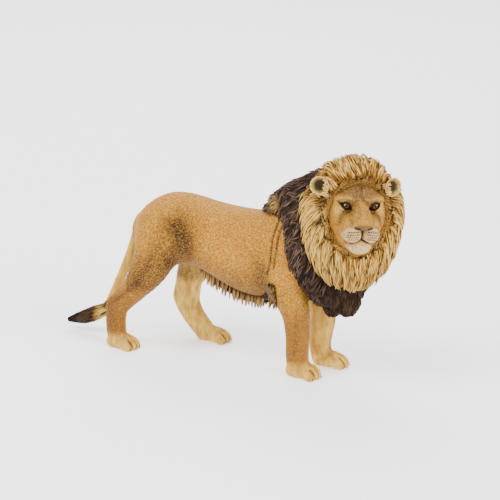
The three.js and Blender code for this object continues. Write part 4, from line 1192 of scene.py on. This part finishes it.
# Rings of the ruff, from its root round the face to its back: middle aside and up, half width, height above
# and depth below the middle, then how far ahead the ring lies at its sides, top and bottom
RUFF = [
    (0.0, 6.0, 7.8, 8.0, 9.0, 4.2, 4.8, 5.5),
    (0.0, 6.0, 9.2, 9.2, 10.6, 5.8, 6.6, 7.8),
    (-0.1, 5.0, 11.0, 11.9, 13.4, 6.7, 7.4, 8.8),
    (-0.2, 4.6, 13.1, 13.4, 17.6, 5.8, 6.0, 8.0),
    (-0.2, 4.2, 14.8, 15.6, 21.6, 3.4, 3.4, 6.0),
    (-0.2, 4.0, 15.5, 17.6, 23.4, -0.4, -0.6, 3.0),
    (-0.3, 3.0, 13.8, 16.6, 21.6, -4.6, -5.0, -1.6),
    (-0.4, 2.0, 10.6, 14.6, 17.4, -8.4, -9.0, -6.0),
]
# Rows of tufts: ring of the roots, how many, shortest and longest, strands in each, spread, width, rise
RUFF_ROWS = [
    (0.3, 92, (3.4, 4.8), 3, 0.6, (0.24, 0.36), 0.9),
    (1.0, 78, (4.4, 6.0), 3, 0.75, (0.26, 0.38), 0.9),
    (1.8, 60, (5.4, 7.2), 4, 1.1, (0.22, 0.36), 0.9),
    (2.7, 54, (6.0, 8.0), 4, 1.25, (0.24, 0.38), 0.9),
    (3.5, 54, (6.0, 8.0), 4, 1.35, (0.24, 0.4), 0.9),
    (4.4, 48, (5.0, 7.0), 4, 1.35, (0.24, 0.4), 0.9),
    (5.6, 36, (4.5, 6.5), 3, 1.1, (0.32, 0.48), 0.5),
]


def ruff_skin():
    """Each ring is an oval seen from in front, bowed forward or back by the square of its rise."""
    rows = []
    c, s = turned(32)
    for aside, rise, wide, high, low, v_side, v_top, v_low in RUFF:
        w = rise + np.where(s > 0, high, low) * s
        v = v_side + np.where(s > 0, v_top - v_side, v_low - v_side) * s**2
        rows.append(on_head(aside + wide * c, v, w))
    return Skin(rows)


def ear_middle(side):
    """The middle of an ear's rim. The head is turned, so the pair sits a little to its right."""
    return on_face(side * 11.4 - 1.2, 6.6, 14.2)


def clear_of_ears(skin, a, b, span, flow):
    """Tufts rooted under an ear are left out, and those that would cross one are kept short."""
    paths, _ = combed_paths(skin, a, b, span, flow, 6, 0, 1)
    offs = [paths - ear_middle(side) for side in SIDES]
    away = np.min([np.hypot(off @ HEAD_LEFT, off[..., 2]) for off in offs], 0)
    keep = away[:, 0] > 2.6
    span = np.where((away < 3.1).any(1), 0.42 * span, span)
    return a[keep], b[keep], span[keep]


def build_light_mane():
    """The pale ruff round the face in rows of tufts, with short hair over the seam of the face."""
    luck = np.random.default_rng(91)
    skin = ruff_skin()
    relief = combed(52, 8, lambda a, b: 0.085 * a * np.cos(2 * np.pi * b), 0.9)

    def ruff_relief(a, b):
        height, ridge = relief(a, b)
        by_face = 1 - step_up(a, 0.2, 0.36)
        return (height - 0.5) * step_up(a, 0.04, 0.25) - 0.5 * by_face, np.clip(ridge + 0.6 * by_face, 0, 1)

    def flow(p, n):
        """Away from the face and down, more steeply the lower it grows, parted above the forehead."""
        u = (p - HEAD_MIDDLE) @ HEAD_LEFT
        w = p[..., 2] - HEAD_MIDDLE[2]
        out = unit(np.stack([u - 0.6 * (w > 0), w - 6.0], -1))
        fall = 0.1 + 0.9 * step_up(-w, -14, -6) + 0.4 * step_up(-w, 0, 10)
        out[..., 0] *= 1 - 1.15 * step_up(-w, -6, 8)
        way = out[..., :1] * HEAD_LEFT + out[..., 1:] * UP
        behind = 0.25 + 2.0 * step_up(-(n @ HEAD_FORWARD), 0.1, 0.7)
        return way - UP * fall[..., None] - behind[..., None] * HEAD_FORWARD

    parts = [carved_skin(skin, 72 // FINE, 360 // FINE, ruff_relief, (0.02, 1.0), 1.15)]
    for k, (start, count, length, each, spread, wide, rise) in enumerate(RUFF_ROWS):
        a = start + luck.uniform(-0.3, 0.3, count)
        b = (np.arange(count) + luck.uniform(-0.35, 0.35, count)) / count * skin.columns
        # The beard is longer
        span = luck.uniform(*length, count) * (1 + 0.3 * step_up(-np.sin(2 * np.pi * b / skin.columns), 0.2, 0.9))
        a, b, span = clear_of_ears(skin, a, b, span, flow)
        parts.append(tufts(skin, a, b, span, flow, 400 + 10 * k, each, spread, wide, rise, 8, 0.25))
    # Short hair over the seam of the face
    count = 70
    a = luck.uniform(0.0, 0.14, count)
    b = (np.arange(count) + luck.uniform(-0.3, 0.3, count)) / count * skin.columns
    parts.append(tufts(skin, a, b, luck.uniform(2.4, 3.4, count), flow, 480, 2, 0.4, (0.3, 0.44), 1.1, 5, 0.25))
    c = colours()
    coat = hair_paint("light_mane_hair", c.ruff_groove_and_shade, c.ruff_ochre, c.ruff_gold, c.ruff_cream, 0.36, 0.12)

    def paint(points, fields):
        u = (points - HEAD_MIDDLE) @ HEAD_LEFT
        w = points[:, 2] - HEAD_MIDDLE[2]
        cream = step_up(-u, 8.2, 11.8) * step_up(-w, -13, -4) + 0.2 * step_up(-w, 11, 19) + 0.4 * step_up(u, 11, 15)
        edge = step_up(-((u / 12.0) ** 2 + ((w - 5.5) / 13.5) ** 2), -1.0, -0.75)
        above = step_up(w, 10.0, 13.5)
        root = fields["root"] * (1 - 0.8 * edge * (1 - 0.6 * above)) + 0.12 * edge * above * (1 - fields["tip"])
        # The ruff is painted darker towards the bottom
        root = np.clip(root + 0.2 * step_up(-w, 5, 14) * (1 - 0.6 * fields["ridge"]), 0, 0.85)
        return {"cream": np.clip(cream, 0, 0.85), "root": root}

    hair_piece("light_mane_hair", parts, coat, ("light_mane",), paint)



# Head: u to the animal's left, v ahead, w up, from the middle of the ruff


FACE_ROLL = np.radians(4)  # the face is tipped this much about its line of sight
EYE = (4.35, 7.95, 8.85)  # middle of the left eyeball
EYE_RADIUS = 1.75
EYE_CORNER = np.array([2.95, 7.85])  # inner corner, as (u, w)
EYE_SLANT = np.array([0.908, 0.42])  # from the inner to the outer corner
EYE_LENGTH = 3.6
PHILTRUM = [(0.0, 2.5), (0.0, -0.45)]
MOUTH = [(0.0, -0.45), (0.7, -0.95), (1.8, -1.55), (2.7, -1.95), (3.7, -2.35)]
BRIDGE = [(0, 7.0, 10.4, 3.2, 2.6), (0, 9.2, 8.6, 3.1, 2.6), (0, 11.8, 6.4, 3.1, 2.4), (0, 13.6, 4.8, 3.0, 1.7)]
BROW = [(1.4, 9.2, 10.3, 0.8, 0.9), (3.2, 9.2, 11.1, 0.9, 1.0), (5.2, 8.4, 11.3, 0.9, 1.0), (7.0, 6.6, 10.6, 0.8, 0.8)]
BRIDGE, BROW = through(BRIDGE, 8), through(BROW, 9)
# Nostrils and eye sockets: depth, middle, reach
SOCKETS = [
    (0.8, (1.75, 15.6, 3.2), (0.6, 0.8, 0.32)),
    (0.4, (2.75, 15.0, 3.35), (0.55, 0.9, 0.26)),
    (0.7, (4.4, 9.4, 8.7), (2.6, 2.4, 1.9)),
    (0.7, (2.3, 10.2, 8.0), (0.9, 1.4, 1.3)),
]
# Brown wash and painted shade of the face: share, line, width. The frown lies right of the middle
FACE_WASH_AND_SHADE = [
    (0.75, [(3.1, 7.5), (4.3, 6.8), (5.8, 5.6), (6.4, 4.0)], 0.55),
    (0.3, [(3.4, 7.3), (5.6, 5.4), (6.6, 3.2)], 1.3),
    (0.45, [(1.2, 7.9), (1.3, 6.4)], 0.5),
    (0.4, [(2.9, 6.2), (3.3, 4.6)], 0.6),
    (0.5, [(2.2, 9.6), (3.0, 10.6)], 0.6),
]
FROWN_WASH_AND_SHADE = [
    (0.8, [(0.2, 14.2), (0.0, 12.4), (0.3, 11.0), (1.8, 9.8)], 0.5),
    (0.55, [(-1.5, 9.3), (-1.9, 10.6), (-1.5, 12.6)], 0.8),
]
# Light strokes over the brow and under the eye
LIGHT_LINES = [
    (0.15, [(3.0, 10.9), (4.6, 11.4), (6.2, 11.0)], 0.5),
    (0.7, [(3.4, 7.1), (4.4, 7.0), (5.8, 7.9)], 0.32),
    (0.25, [(2.5, 7.2), (3.0, 5.4)], 0.4),
]
# Rows of whisker dots: height, first one's place, how many
WHISKERS = ((2.1, 1.7, 5), (1.35, 1.4, 6), (0.6, 1.6, 6), (-0.15, 1.5, 5))


def on_face(u, v, w):
    """A point of the rolled face."""
    c, s = np.cos(FACE_ROLL), np.sin(FACE_ROLL)
    rise = np.asarray(w) - 5.0
    return on_head(u * c + rise * s, v, 5.0 + rise * c - u * s)


def eye_opening(q):
    """Almond between two lids, below zero inside it: t runs across the slant between an upper and a lower
    arch, each height * 4s(1 - s), with the top nearer the outer corner."""
    d = q[:, [0, 2]] - EYE_CORNER
    share = d @ EYE_SLANT / EYE_LENGTH
    t = d[:, 1] * EYE_SLANT[0] - d[:, 0] * EYE_SLANT[1]
    arch = 4 * share * (1 - share)
    upper = 1.12 * arch * (1 + 0.25 * (share - 0.5))
    lower = -0.72 * arch * (1 - 0.4 * (share - 0.5))
    return np.maximum(np.maximum(t - upper, lower - t) * 0.85, (np.abs(share - 0.5) - 0.5) * EYE_LENGTH * 0.6)


def head_field(p):
    """Skull, bridge, muzzle, chin and brows joined with soft fillets, then the eyes, lids and lines."""
    q = p.copy()
    q[:, 0] = np.abs(q[:, 0])
    ball = lambda at, sizes: ball_field(q, at, sizes)
    nose = merge(ball((0, 14.7, 3.6), (2.3, 1.45, 1.15)), ball((2.2, 14.3, 3.45), (1.15, 1.15, 0.95)), 0.6)
    forms = (
        (ball((0, 2.2, 9.4), (7.8, 7.5, 6.6)), 2.0),
        (ball((5.6, 4.0, 4.4), (3.7, 4.9, 5.6)), 2.2),
        (sweep_field(q, BRIDGE, (1.0, 0.0, 0.0)), 1.8),
        (ball((3.9, 8.4, 3.0), (3.3, 4.0, 3.4)), 2.0),
        (ball((2.75, 12.5, 0.85), (2.9, 3.35, 2.6)), 0.9),
        (ball((0, 11.6, -3.1), (3.65, 2.7, 2.6)), 0.8),
        (ball((0, 6.0, -1.5), (6.4, 5.6, 4.6)), 2.0),
        (sweep_field(q, BROW, (0.0, 0.0, 1.0)), 1.8),
        (nose, 0.5),
    )
    total = ball((0, 0.6, 6.2), (9.5, 8.4, 10.4))
    for form, soft in forms:
        total = merge(total, form, soft)
    # A thin lid over each eyeball, and the almond cut out of it
    total = merge(total + mounds(q, SOCKETS), ball(EYE, (EYE_RADIUS + 0.28,) * 3), 0.5)
    opening = eye_opening(q)
    total -= 0.12 * np.exp(-(((opening - 0.22) / 0.3) ** 2)) * (q[:, 1] > 6)
    hole = np.maximum(opening, 7.2 - q[:, 1])
    total = np.where(hole < 1.5, -merge(-total, hole, 0.12), total)
    # Philtrum, mouth, cheek folds and the frown right of the middle
    total += step_up(q[:, 1], 9.0, 11.0) * creases(q, ((0.6, PHILTRUM, 0.3), (0.5, MOUTH, 0.32)))
    total += 0.4 * step_up(q[:, 1], 6, 8) * crease(q, [(3.2, 7.4), (4.6, 6.6), (5.9, 5.3), (6.4, 3.4)], 0.7)
    frown = ((0.45, [(0.2, 14.0), (0.0, 12.4), (0.3, 11.0), (1.6, 9.9)], 0.5), (0.25, [(-1.9, 11.9), (-1.6, 9.9)], 0.6))
    return total + step_up(p[:, 1], 6, 7) * creases(p, frown)


def head_paint_fields(p, normals):
    """Pale muzzle and chin, nose, dark lines, brown wash with painted shade and light strokes, laid out as seen from
    in front.
    """
    q = p.copy()
    q[:, 0] = np.abs(q[:, 0])
    u, v, w = q.T

    def patch(at, size, full, gone):
        """1 in an oval seen from in front, fading between two of its sizes."""
        return 1 - step_up(np.hypot((u - at[0]) / size[0], (w - at[1]) / size[1]), full, gone)

    front = step_up(v, 8.5, 10.5)
    pale = np.maximum(patch((2.7, 0.7), (3.1, 2.75), 0.86, 1.08), patch((0, -3.2), (4.0, 3.0), 0.85, 1.1)) * front
    pale = pale * (1 - step_up(w, 2.5, 3.3) * step_up(-u, -3.2, -2.4))
    nose = patch((0, 3.45), (3.3, 1.0), 0.8, 1.05) * step_up(v, 12.8, 13.6)
    nose = np.maximum(nose, patch((0, 2.9), (1.0, 0.9), 0.8, 1.1) * step_up(v, 13.6, 14.4))
    ahead = step_up(v, 11, 12.5)
    lines = (
        (ahead, PHILTRUM, 0.3),
        (ahead, [(0.0, -0.1), (0.0, -0.6)], 0.45),
        (0.92 * ahead, MOUTH, 0.22),
        (0.96 * ahead, [(1.35, 3.05), (1.9, 3.15), (2.6, 3.4)], 0.3),
        (0.5 * ahead, [(0.6, 2.35), (1.5, 2.6), (2.6, 2.9)], 0.16),
        (0.85 * (v > 5), [(6.3, 9.5), (6.9, 9.8)], 0.3),
        (0.8 * (v > 6), [(3.0, 7.9), (2.7, 7.5)], 0.3),
    )
    dark = 0.98 * step_up(-eye_opening(q), -0.62, -0.24) * (v > 6)
    for share, line, width in lines:
        dark = np.maximum(dark, share * crease(q, line, width))
    for height, first, count in WHISKERS:
        for n in range(count):
            aside, rise = first + 0.66 * n, height - 0.05 * n + 0.08 * (n % 2)
            spot = np.exp(-((u - aside) ** 2 / 0.27**2 + (w - rise) ** 2 / 0.19**2)) * front
            dark = np.maximum(dark, np.minimum(1.5 * spot, 0.96))
    # Brown wash and painted shade in the hollows, along the creases and where the face meets the mane
    wash_and_shade = 1.1 * np.clip(hollow_share(head_field, p, normals, 1.0) - 0.15, 0, 1)
    wash_and_shade += creases(p, FROWN_WASH_AND_SHADE) + creases(q, FACE_WASH_AND_SHADE)
    wash_and_shade += 0.7 * step_up(w, 12.2, 15.2) + 0.6 * step_up(u, 7.4, 9.2) * step_up(-w, -14, -9)
    wash_and_shade += 0.5 * step_up(-w, 2.0, 5.5) * step_up(u, 4.2, 6.2)
    light = creases(q, LIGHT_LINES)
    light += mounds(q, ((0.35, (6.6, 9, 8.0), (1.6, 4, 2.6)), (0.35, (3.6, 12, 4.0), (1.2, 4, 0.8))))
    golden = mounds(q, ((0.8, (6.2, 9, 2.2), (2.4, 5, 3.0)), (0.5, (0, 12, 5.6), (2.4, 4.5, 2.2))))
    forehead = step_up(w, 9.6, 11.6) * step_up(-u, -8.0, -5.5)
    wash_and_shade = 1 - np.exp(-1.1 * wash_and_shade)
    fields = dict(pale=pale, nose=nose, dark=dark, wash_and_shade=wash_and_shade, forehead=forehead, light=light, golden=golden)
    return {name: np.clip(field, 0, 1) for name, field in fields.items()}


def face_paint():
    """Short facial fur: tan with fine upright strokes, darker forehead, cream muzzle, thin dark lines."""
    c = colours()
    p = Paint("face_fur", 0.62, 0.15)
    fine = p.speckle(p.place, 0.00042, 2.0, 0.6, (1.4, 1.4, 0.3))
    base = p.over(p.spread(p.speckle(p.place, 0.002), 0.3, 0.7), c.face_tan, c.face_rose)
    base = p.over(p.sum("MULTIPLY", p.field("forehead"), 0.95), base, c.forehead_tan)
    base = p.over(p.field("golden"), base, c.coat_gold)
    base = p.over(p.spread(fine, 0.42, 0.7, 0.45), base, c.coat_light)
    base = p.over(p.spread(fine, 0.5, 0.32, 0.45), base, c.face_wash_and_shade)
    base = p.over(p.field("light"), base, c.pale_cream)
    base = p.washed_and_shaded(base, fine, 0.68, 0.36, 0.5, 0.7, c.face_wash_and_shade)
    muzzle = p.over(p.spread(fine, 0.52, 0.34, 0.8), c.muzzle_white, c.muzzle_shade)
    for name, top in (("pale", muzzle), ("nose", c.nose_pink), ("dark", c.line_dark)):
        base = p.over(p.field(name), base, top)
    return p.done(base, fine, 0.07)


def eye_paint():
    """Glossy painted eye: brown iris darker to its rim, black pupil, dark edge under the lids, a painted glint."""
    c = colours()
    p = Paint("glossy_eye", 0.35, 0.08)
    out = p.field("gaze")
    iris = p.over(p.spread(out, 0.45, 0.95), c.iris_amber, c.iris_brown)
    iris = p.over(p.spread(out, 0.5, 0.4), iris, c.line_dark)
    iris = p.over(p.field("rim"), iris, c.line_dark)
    return p.done(p.over(p.field("glint"), iris, (0.75, 0.73, 0.68)))


def build_head():
    """The face and skull, meshed from one field and set on the drawing, and the eyes."""
    points, quads = skin_of(head_field, (-10.4, -3.0, -7.2), (10.4, 17.6, 17.4), 0.36 if FINE > 1 else 0.17)
    back = [(Vector((0, -1.5, 0)), Vector((0, -1, 0)), 0)]
    points, (fans, quads) = cut_flat(points, quads, back)
    normals = unit(slope_of(head_field, points, 0.07))
    fields = head_paint_fields(points, normals)
    place = on_face(*points.T)
    shown = unit(on_face(*(points + normals).T) - place)
    # The head's own directions are left-handed to the drawing's, so the faces turn round
    make_piece("face_skin", place, [quads[:, ::-1], fans[:, ::-1]], face_paint(), ("head",), fields, shown)
    build_eyes()


def build_eyes():
    """Two glossy balls, each a grid of rings round its line of sight: middle + radius * (cos a, sin a)."""
    rings, columns = 60, 56
    polar = np.linspace(0, np.pi, rings + 2)[1:-1]
    c, s = (values[None, :, None] for values in turned(columns))
    parts = []
    for side in (1, -1):
        sight = unit(np.array([side * 0.14, 1.0, -0.04]))
        right = unit(np.cross(sight, UP))
        middle = EYE * np.array([side, 1, 1])
        spin = right * c + np.cross(right, sight) * s
        ball = middle + EYE_RADIUS * (np.cos(polar)[:, None, None] * sight + np.sin(polar)[:, None, None] * spin)
        poles = [middle + EYE_RADIUS * sight, middle - EYE_RADIUS * sight]
        points = np.concatenate([ball.reshape(-1, 3), poles])
        gaze = np.append(np.repeat(np.sin(polar) * EYE_RADIUS + 9 * (polar > np.pi / 2), columns), [0, 10])
        rim = step_up(eye_opening(points * (side, 1, 1)), -0.42, -0.12)
        off = points - (poles[0] + np.array([side * 0.42, 0, 0.38]))
        glint = np.exp(-((np.linalg.norm(off[:, [0, 2]], axis=1) / 0.15) ** 4)) * (points[:, 1] > middle[1])
        place = on_face(*points.T)
        parts.append((place, *outward(place, *shell_faces(rings, columns)), {"gaze": gaze, "glint": glint, "rim": rim}))
    points, faces, fields = gathered(parts)
    make_piece("eyes", points, faces, eye_paint(), (), fields)


# Ears


def ear_shell(middle, across, facing):
    """One grid of rings: from the middle of the ear's back, over the rim, down into the dish."""
    rings, columns = 44, 64
    t = np.linspace(0.03, 1.97, rings)[:, None]
    c, s = turned(columns)
    out = np.sin(np.minimum(t, 2 - t) * np.pi / 2) ** 0.85
    dish = 0.55 - 1.35 * np.cos(t * np.pi / 2) ** 2
    depth = np.where(t > 1, dish, 0.55 - 1.45 * np.abs(np.cos(t * np.pi / 2)) ** 0.9)
    radius = 2.75 + 0.22 * np.exp(-(((t - 1) / 0.12) ** 2))
    u, w = out * radius * c, out * radius * np.where(s > 0, 1.06, 0.96) * s
    bump = 0.06 * np.sin(2 * np.pi * np.arange(columns) / columns * 23) * np.sin(np.pi * out)
    grid = middle + u[..., None] * across + w[..., None] * UP + (depth + bump)[..., None] * facing
    points = np.concatenate([grid.reshape(-1, 3), [grid[0].mean(0), grid[-1].mean(0)]])
    dark = np.repeat(0.97 * step_up(t, 1.08, 1.75), columns)
    return (points, *outward(points, *shell_faces(rings, columns)), {"dark": np.append(dark, [0, 0.95])})


def build_ears():
    """A dish for each ear, and hair at its inner edge."""
    c = colours()
    p = Paint("ear_fur", 0.65, 0.12)
    fine = p.speckle(p.place, 0.0004, 3.0, 0.6)
    coat = p.over(p.spread(fine, 0.3, 0.7), c.face_tan, c.ruff_cream)
    coat = p.done(p.over(p.field("dark"), coat, c.ear_inside), fine, 0.08)
    luck = np.random.default_rng(17)
    count = 22
    some = lambda low, high: luck.uniform(low, high, (count, 1))
    for side, name in ((-1, "right_ear"), (1, "left_ear")):
        middle = ear_middle(side)
        facing = unit(HEAD_FORWARD + 0.4 * side * HEAD_LEFT)
        across = unit(np.cross(UP, facing))
        start = middle - across * side * some(2.0, 2.7) + UP * some(-2.2, 1.6) + facing * 0.3
        end = start + across * side * some(0.7, 1.6) + UP * some(-0.5, 1.2) + facing * some(0.2, 0.7)
        t = np.linspace(0, 1, 7)[:, None]
        paths = start[:, None] * (1 - t) + end[:, None] * t + facing * 0.35 * np.sin(np.pi * t)
        outs = np.broadcast_to(facing, paths.shape)
        wide = luck.uniform(0.12, 0.24, count)
        hair = strands(paths, outs, wide, np.full(count, 0.12), luck.random(count), lock_shape)
        parts = [ear_shell(middle, across, facing), (*hair[:3], {"dark": np.zeros(len(hair[0]))})]
        points, faces, fields = gathered(parts)
        make_piece(name + "_fur", points, faces, coat, (name,), fields)


# Stage


def build_stage():
    """A pale floor, soft light from above and both sides, and the camera."""
    scene = bpy.context.scene
    floor = bpy.data.meshes.new("floor")
    floor.from_pydata([(-3, -3, 0), (3, -3, 0), (3, 3, 0), (-3, 3, 0)], [], [(0, 1, 2, 3)])
    p = Paint("pale_floor", 0.7, 0.2)
    p.plug(p.shader.inputs["Emission Color"], (1.0, 1.0, 1.0, 1.0))
    p.plug(p.shader.inputs["Emission Strength"], 0.7)
    grain = p.sum("MULTIPLY", p.speckle(p.place, 0.05), 0.1)
    floor.materials.append(p.done(p.over(grain, colours().floor_pale, (0.97, 0.97, 0.98))))
    ground = bpy.data.objects.new("floor", floor)
    scene.collection.objects.link(ground)

    world = bpy.data.worlds.new("soft_room")
    world.use_nodes = True
    world.node_tree.nodes["Background"].inputs[0].default_value = (1.0, 1.0, 1.0, 1.0)
    world.node_tree.nodes["Background"].inputs[1].default_value = sizes().room_light
    scene.world = world

    middle = Vector((0.0, 0.0, 0.035))
    lamps = (
        ("key", (-0.3, -0.55, 0.95), 0.6, 8.0),
        ("fill", (0.95, -0.2, 0.5), 0.7, 7.0),
        ("back", (-0.4, 0.6, 0.8), 0.8, 6.5),
    )
    for name, at, size, power in lamps:
        lamp = bpy.data.lights.new(name, "AREA")
        lamp.size = size
        lamp.energy = power * sizes().lamp_power
        holder = bpy.data.objects.new(name, lamp)
        holder.location = at
        holder.rotation_euler = (middle - Vector(at)).to_track_quat("-Z", "Y").to_euler()
        scene.collection.objects.link(holder)

    lens = bpy.data.cameras.new("camera")
    lens.lens = 127.4
    lens.sensor_width = 36.0
    camera = bpy.data.objects.new("camera", lens)
    eye = (np.array([261.16, -484.86, 200.41]) + PLACE) * MM
    target = (np.array([-8.92, 23.09, 30.0]) + PLACE) * MM
    camera.location = eye
    camera.rotation_euler = Vector(target - eye).to_track_quat("-Z", "Y").to_euler()
    scene.collection.objects.link(camera)
    scene.camera = camera


# Add-on


def shade(name, description, colour):
    """A colour as it looks on the screen."""
    return bpy.props.FloatVectorProperty(
        name=name, description=description, default=colour, size=3, min=0, max=1, subtype="COLOR_GAMMA"
    )


class LionSizes(bpy.types.PropertyGroup):
    fur_grain: bpy.props.FloatProperty(
        name="Fur grain", description="Distance between the grains of the short fur", default=0.00044, unit="LENGTH"
    )
    fur_depth: bpy.props.FloatProperty(
        name="Fur depth", description="Depth of the short fur, in millimetres", default=0.11
    )
    room_light: bpy.props.FloatProperty(name="Room light", description="Brightness of the white room", default=1.0)
    lamp_power: bpy.props.FloatProperty(name="Lamp power", description="Multiplies the power of all lamps", default=1.7)


class LionColours(bpy.types.PropertyGroup):
    coat_tan: shade("Coat tan", "Body, the cooler tan", (0.66, 0.45, 0.11))
    coat_gold: shade("Coat gold", "Body, the warmer tan", (0.65, 0.42, 0.08))
    coat_light: shade("Coat light", "Light grains of the coat", (0.82, 0.61, 0.21))
    coat_grain: shade("Coat grain", "Dark grains of the coat", (0.40, 0.25, 0.06))
    coat_amber: shade("Coat amber", "Golden areas of the legs and rump", (0.45, 0.28, 0.065))
    pale_cream: shade("Pale cream", "Paws and the insides of the legs", (0.92, 0.76, 0.33))
    pale_shade: shade("Pale shade", "Shading of the pale areas", (0.71, 0.53, 0.23))
    # Brown of the wash, which also paints the shade in the hollows
    wash_and_shade_brown: shade("Wash brown", "Brown wash in the hollows", (0.18, 0.095, 0.02))
    claw_dark: shade("Claw dark", "Claws", (0.16, 0.12, 0.09))
    # Also the painted shade in the grooves and at the roots of the dark hair
    dark_groove_and_shade: shade("Dark groove", "Grooves of the dark hair", (0.07, 0.04, 0.02))
    dark_hair: shade("Dark hair", "Dark mane and tuft", (0.23, 0.155, 0.105))
    dark_dry: shade("Dark dry brush", "Grey-brown brushed over the dark mane", (0.44, 0.34, 0.28))
    chest_dry: shade("Chest dry brush", "Brown brushed over the chest hair", (0.23, 0.15, 0.09))
    fringe_brown: shade("Fringe brown", "Belly fringe", (0.38, 0.28, 0.165))
    fringe_dry: shade("Fringe dry brush", "Tips of the belly fringe", (0.70, 0.54, 0.32))
    # Also the painted shade in the grooves and at the roots of the light mane
    ruff_groove_and_shade: shade("Ruff groove", "Grooves of the light mane", (0.15, 0.075, 0.02))
    ruff_ochre: shade("Ruff ochre", "Light mane, darker", (0.455, 0.27, 0.065))
    ruff_gold: shade("Ruff gold", "Light mane, lighter", (0.70, 0.47, 0.13))
    ruff_cream: shade("Ruff cream", "Tips and edges of the light mane", (0.94, 0.80, 0.45))
    face_tan: shade("Face tan", "Face", (0.56, 0.385, 0.14))
    face_rose: shade("Face rose", "Face, the warmer patches", (0.62, 0.43, 0.165))
    forehead_tan: shade("Forehead", "Darker tan of the forehead", (0.39, 0.28, 0.16))
    # Brown of the face's wash, which also paints the shade in its hollows and creases
    face_wash_and_shade: shade("Face wash", "Brown wash of the face", (0.26, 0.16, 0.08))
    muzzle_white: shade("Muzzle white", "Muzzle and chin", (0.77, 0.64, 0.43))
    muzzle_shade: shade("Muzzle shade", "Shading of the muzzle", (0.44, 0.32, 0.19))
    nose_pink: shade("Nose pink", "Nose", (0.41, 0.28, 0.165))
    line_dark: shade("Line dark", "Eye rims, nostrils and mouth", (0.09, 0.06, 0.05))
    iris_amber: shade("Iris amber", "Iris, inside", (0.40, 0.25, 0.085))
    iris_brown: shade("Iris brown", "Iris, outside", (0.17, 0.10, 0.042))
    ear_inside: shade("Ear inside", "Inside of the ears", (0.12, 0.075, 0.04))
    floor_pale: shade("Floor", "Floor", (0.985, 0.985, 0.99))


class LION_OT_body(bpy.types.Operator):
    """Sculpts the trunk and the four legs"""

    bl_idname = "lion.body"
    bl_label = "Body and legs"

    def execute(self, context):
        build_body()
        return {"FINISHED"}


class LION_OT_tail(bpy.types.Operator):
    """Makes the tail and its tuft"""

    bl_idname = "lion.tail"
    bl_label = "Tail"

    def execute(self, context):
        build_tail()
        return {"FINISHED"}


class LION_OT_fringe(bpy.types.Operator):
    """Hangs the fringe of hair under the belly"""

    bl_idname = "lion.fringe"
    bl_label = "Belly fringe"

    def execute(self, context):
        build_fringe()
        return {"FINISHED"}


class LION_OT_dark_mane(bpy.types.Operator):
    """Carves the dark outer mane and the hair below the chest"""

    bl_idname = "lion.dark_mane"
    bl_label = "Dark mane"

    def execute(self, context):
        build_dark_mane()
        return {"FINISHED"}


class LION_OT_light_mane(bpy.types.Operator):
    """Carves the light ruff round the face"""

    bl_idname = "lion.light_mane"
    bl_label = "Light mane"

    def execute(self, context):
        build_light_mane()
        return {"FINISHED"}


class LION_OT_head(bpy.types.Operator):
    """Sculpts the face and sets the eyes"""

    bl_idname = "lion.head"
    bl_label = "Head"

    def execute(self, context):
        build_head()
        return {"FINISHED"}


class LION_OT_ears(bpy.types.Operator):
    """Makes both ears"""

    bl_idname = "lion.ears"
    bl_label = "Ears"

    def execute(self, context):
        build_ears()
        return {"FINISHED"}


class LION_OT_stage(bpy.types.Operator):
    """Sets the floor, the lights and the camera"""

    bl_idname = "lion.stage"
    bl_label = "Stage"

    def execute(self, context):
        build_stage()
        return {"FINISHED"}


OPERATORS = (
    LION_OT_body,
    LION_OT_tail,
    LION_OT_fringe,
    LION_OT_dark_mane,
    LION_OT_light_mane,
    LION_OT_head,
    LION_OT_ears,
    LION_OT_stage,
)


class LION_PT_panel(bpy.types.Panel):
    """Sizes, colours and pieces of the toy lion"""

    bl_idname = "LION_PT_panel"
    bl_label = "Toy lion"
    bl_space_type = "VIEW_3D"
    bl_region_type = "UI"
    bl_category = "Lion"

    def draw(self, context):
        for group in (context.scene.lion_sizes, context.scene.lion_colours):
            for key in group.__annotations__:
                self.layout.prop(group, key)
        for operator in OPERATORS:
            self.layout.operator(operator.bl_idname)


CLASSES = (LionSizes, LionColours, *OPERATORS, LION_PT_panel)


def register():
    for item in CLASSES:
        bpy.utils.register_class(item)
    bpy.types.Scene.lion_sizes = bpy.props.PointerProperty(type=LionSizes)
    bpy.types.Scene.lion_colours = bpy.props.PointerProperty(type=LionColours)


def unregister():
    del bpy.types.Scene.lion_sizes
    del bpy.types.Scene.lion_colours
    for item in reversed(CLASSES):
        bpy.utils.unregister_class(item)


def main():
    register()
    bpy.ops.lion.body()
    bpy.ops.lion.tail()
    bpy.ops.lion.fringe()
    bpy.ops.lion.dark_mane()
    bpy.ops.lion.light_mane()
    bpy.ops.lion.head()
    bpy.ops.lion.ears()
    bpy.ops.lion.stage()


if __name__ == "__main__":
    main()
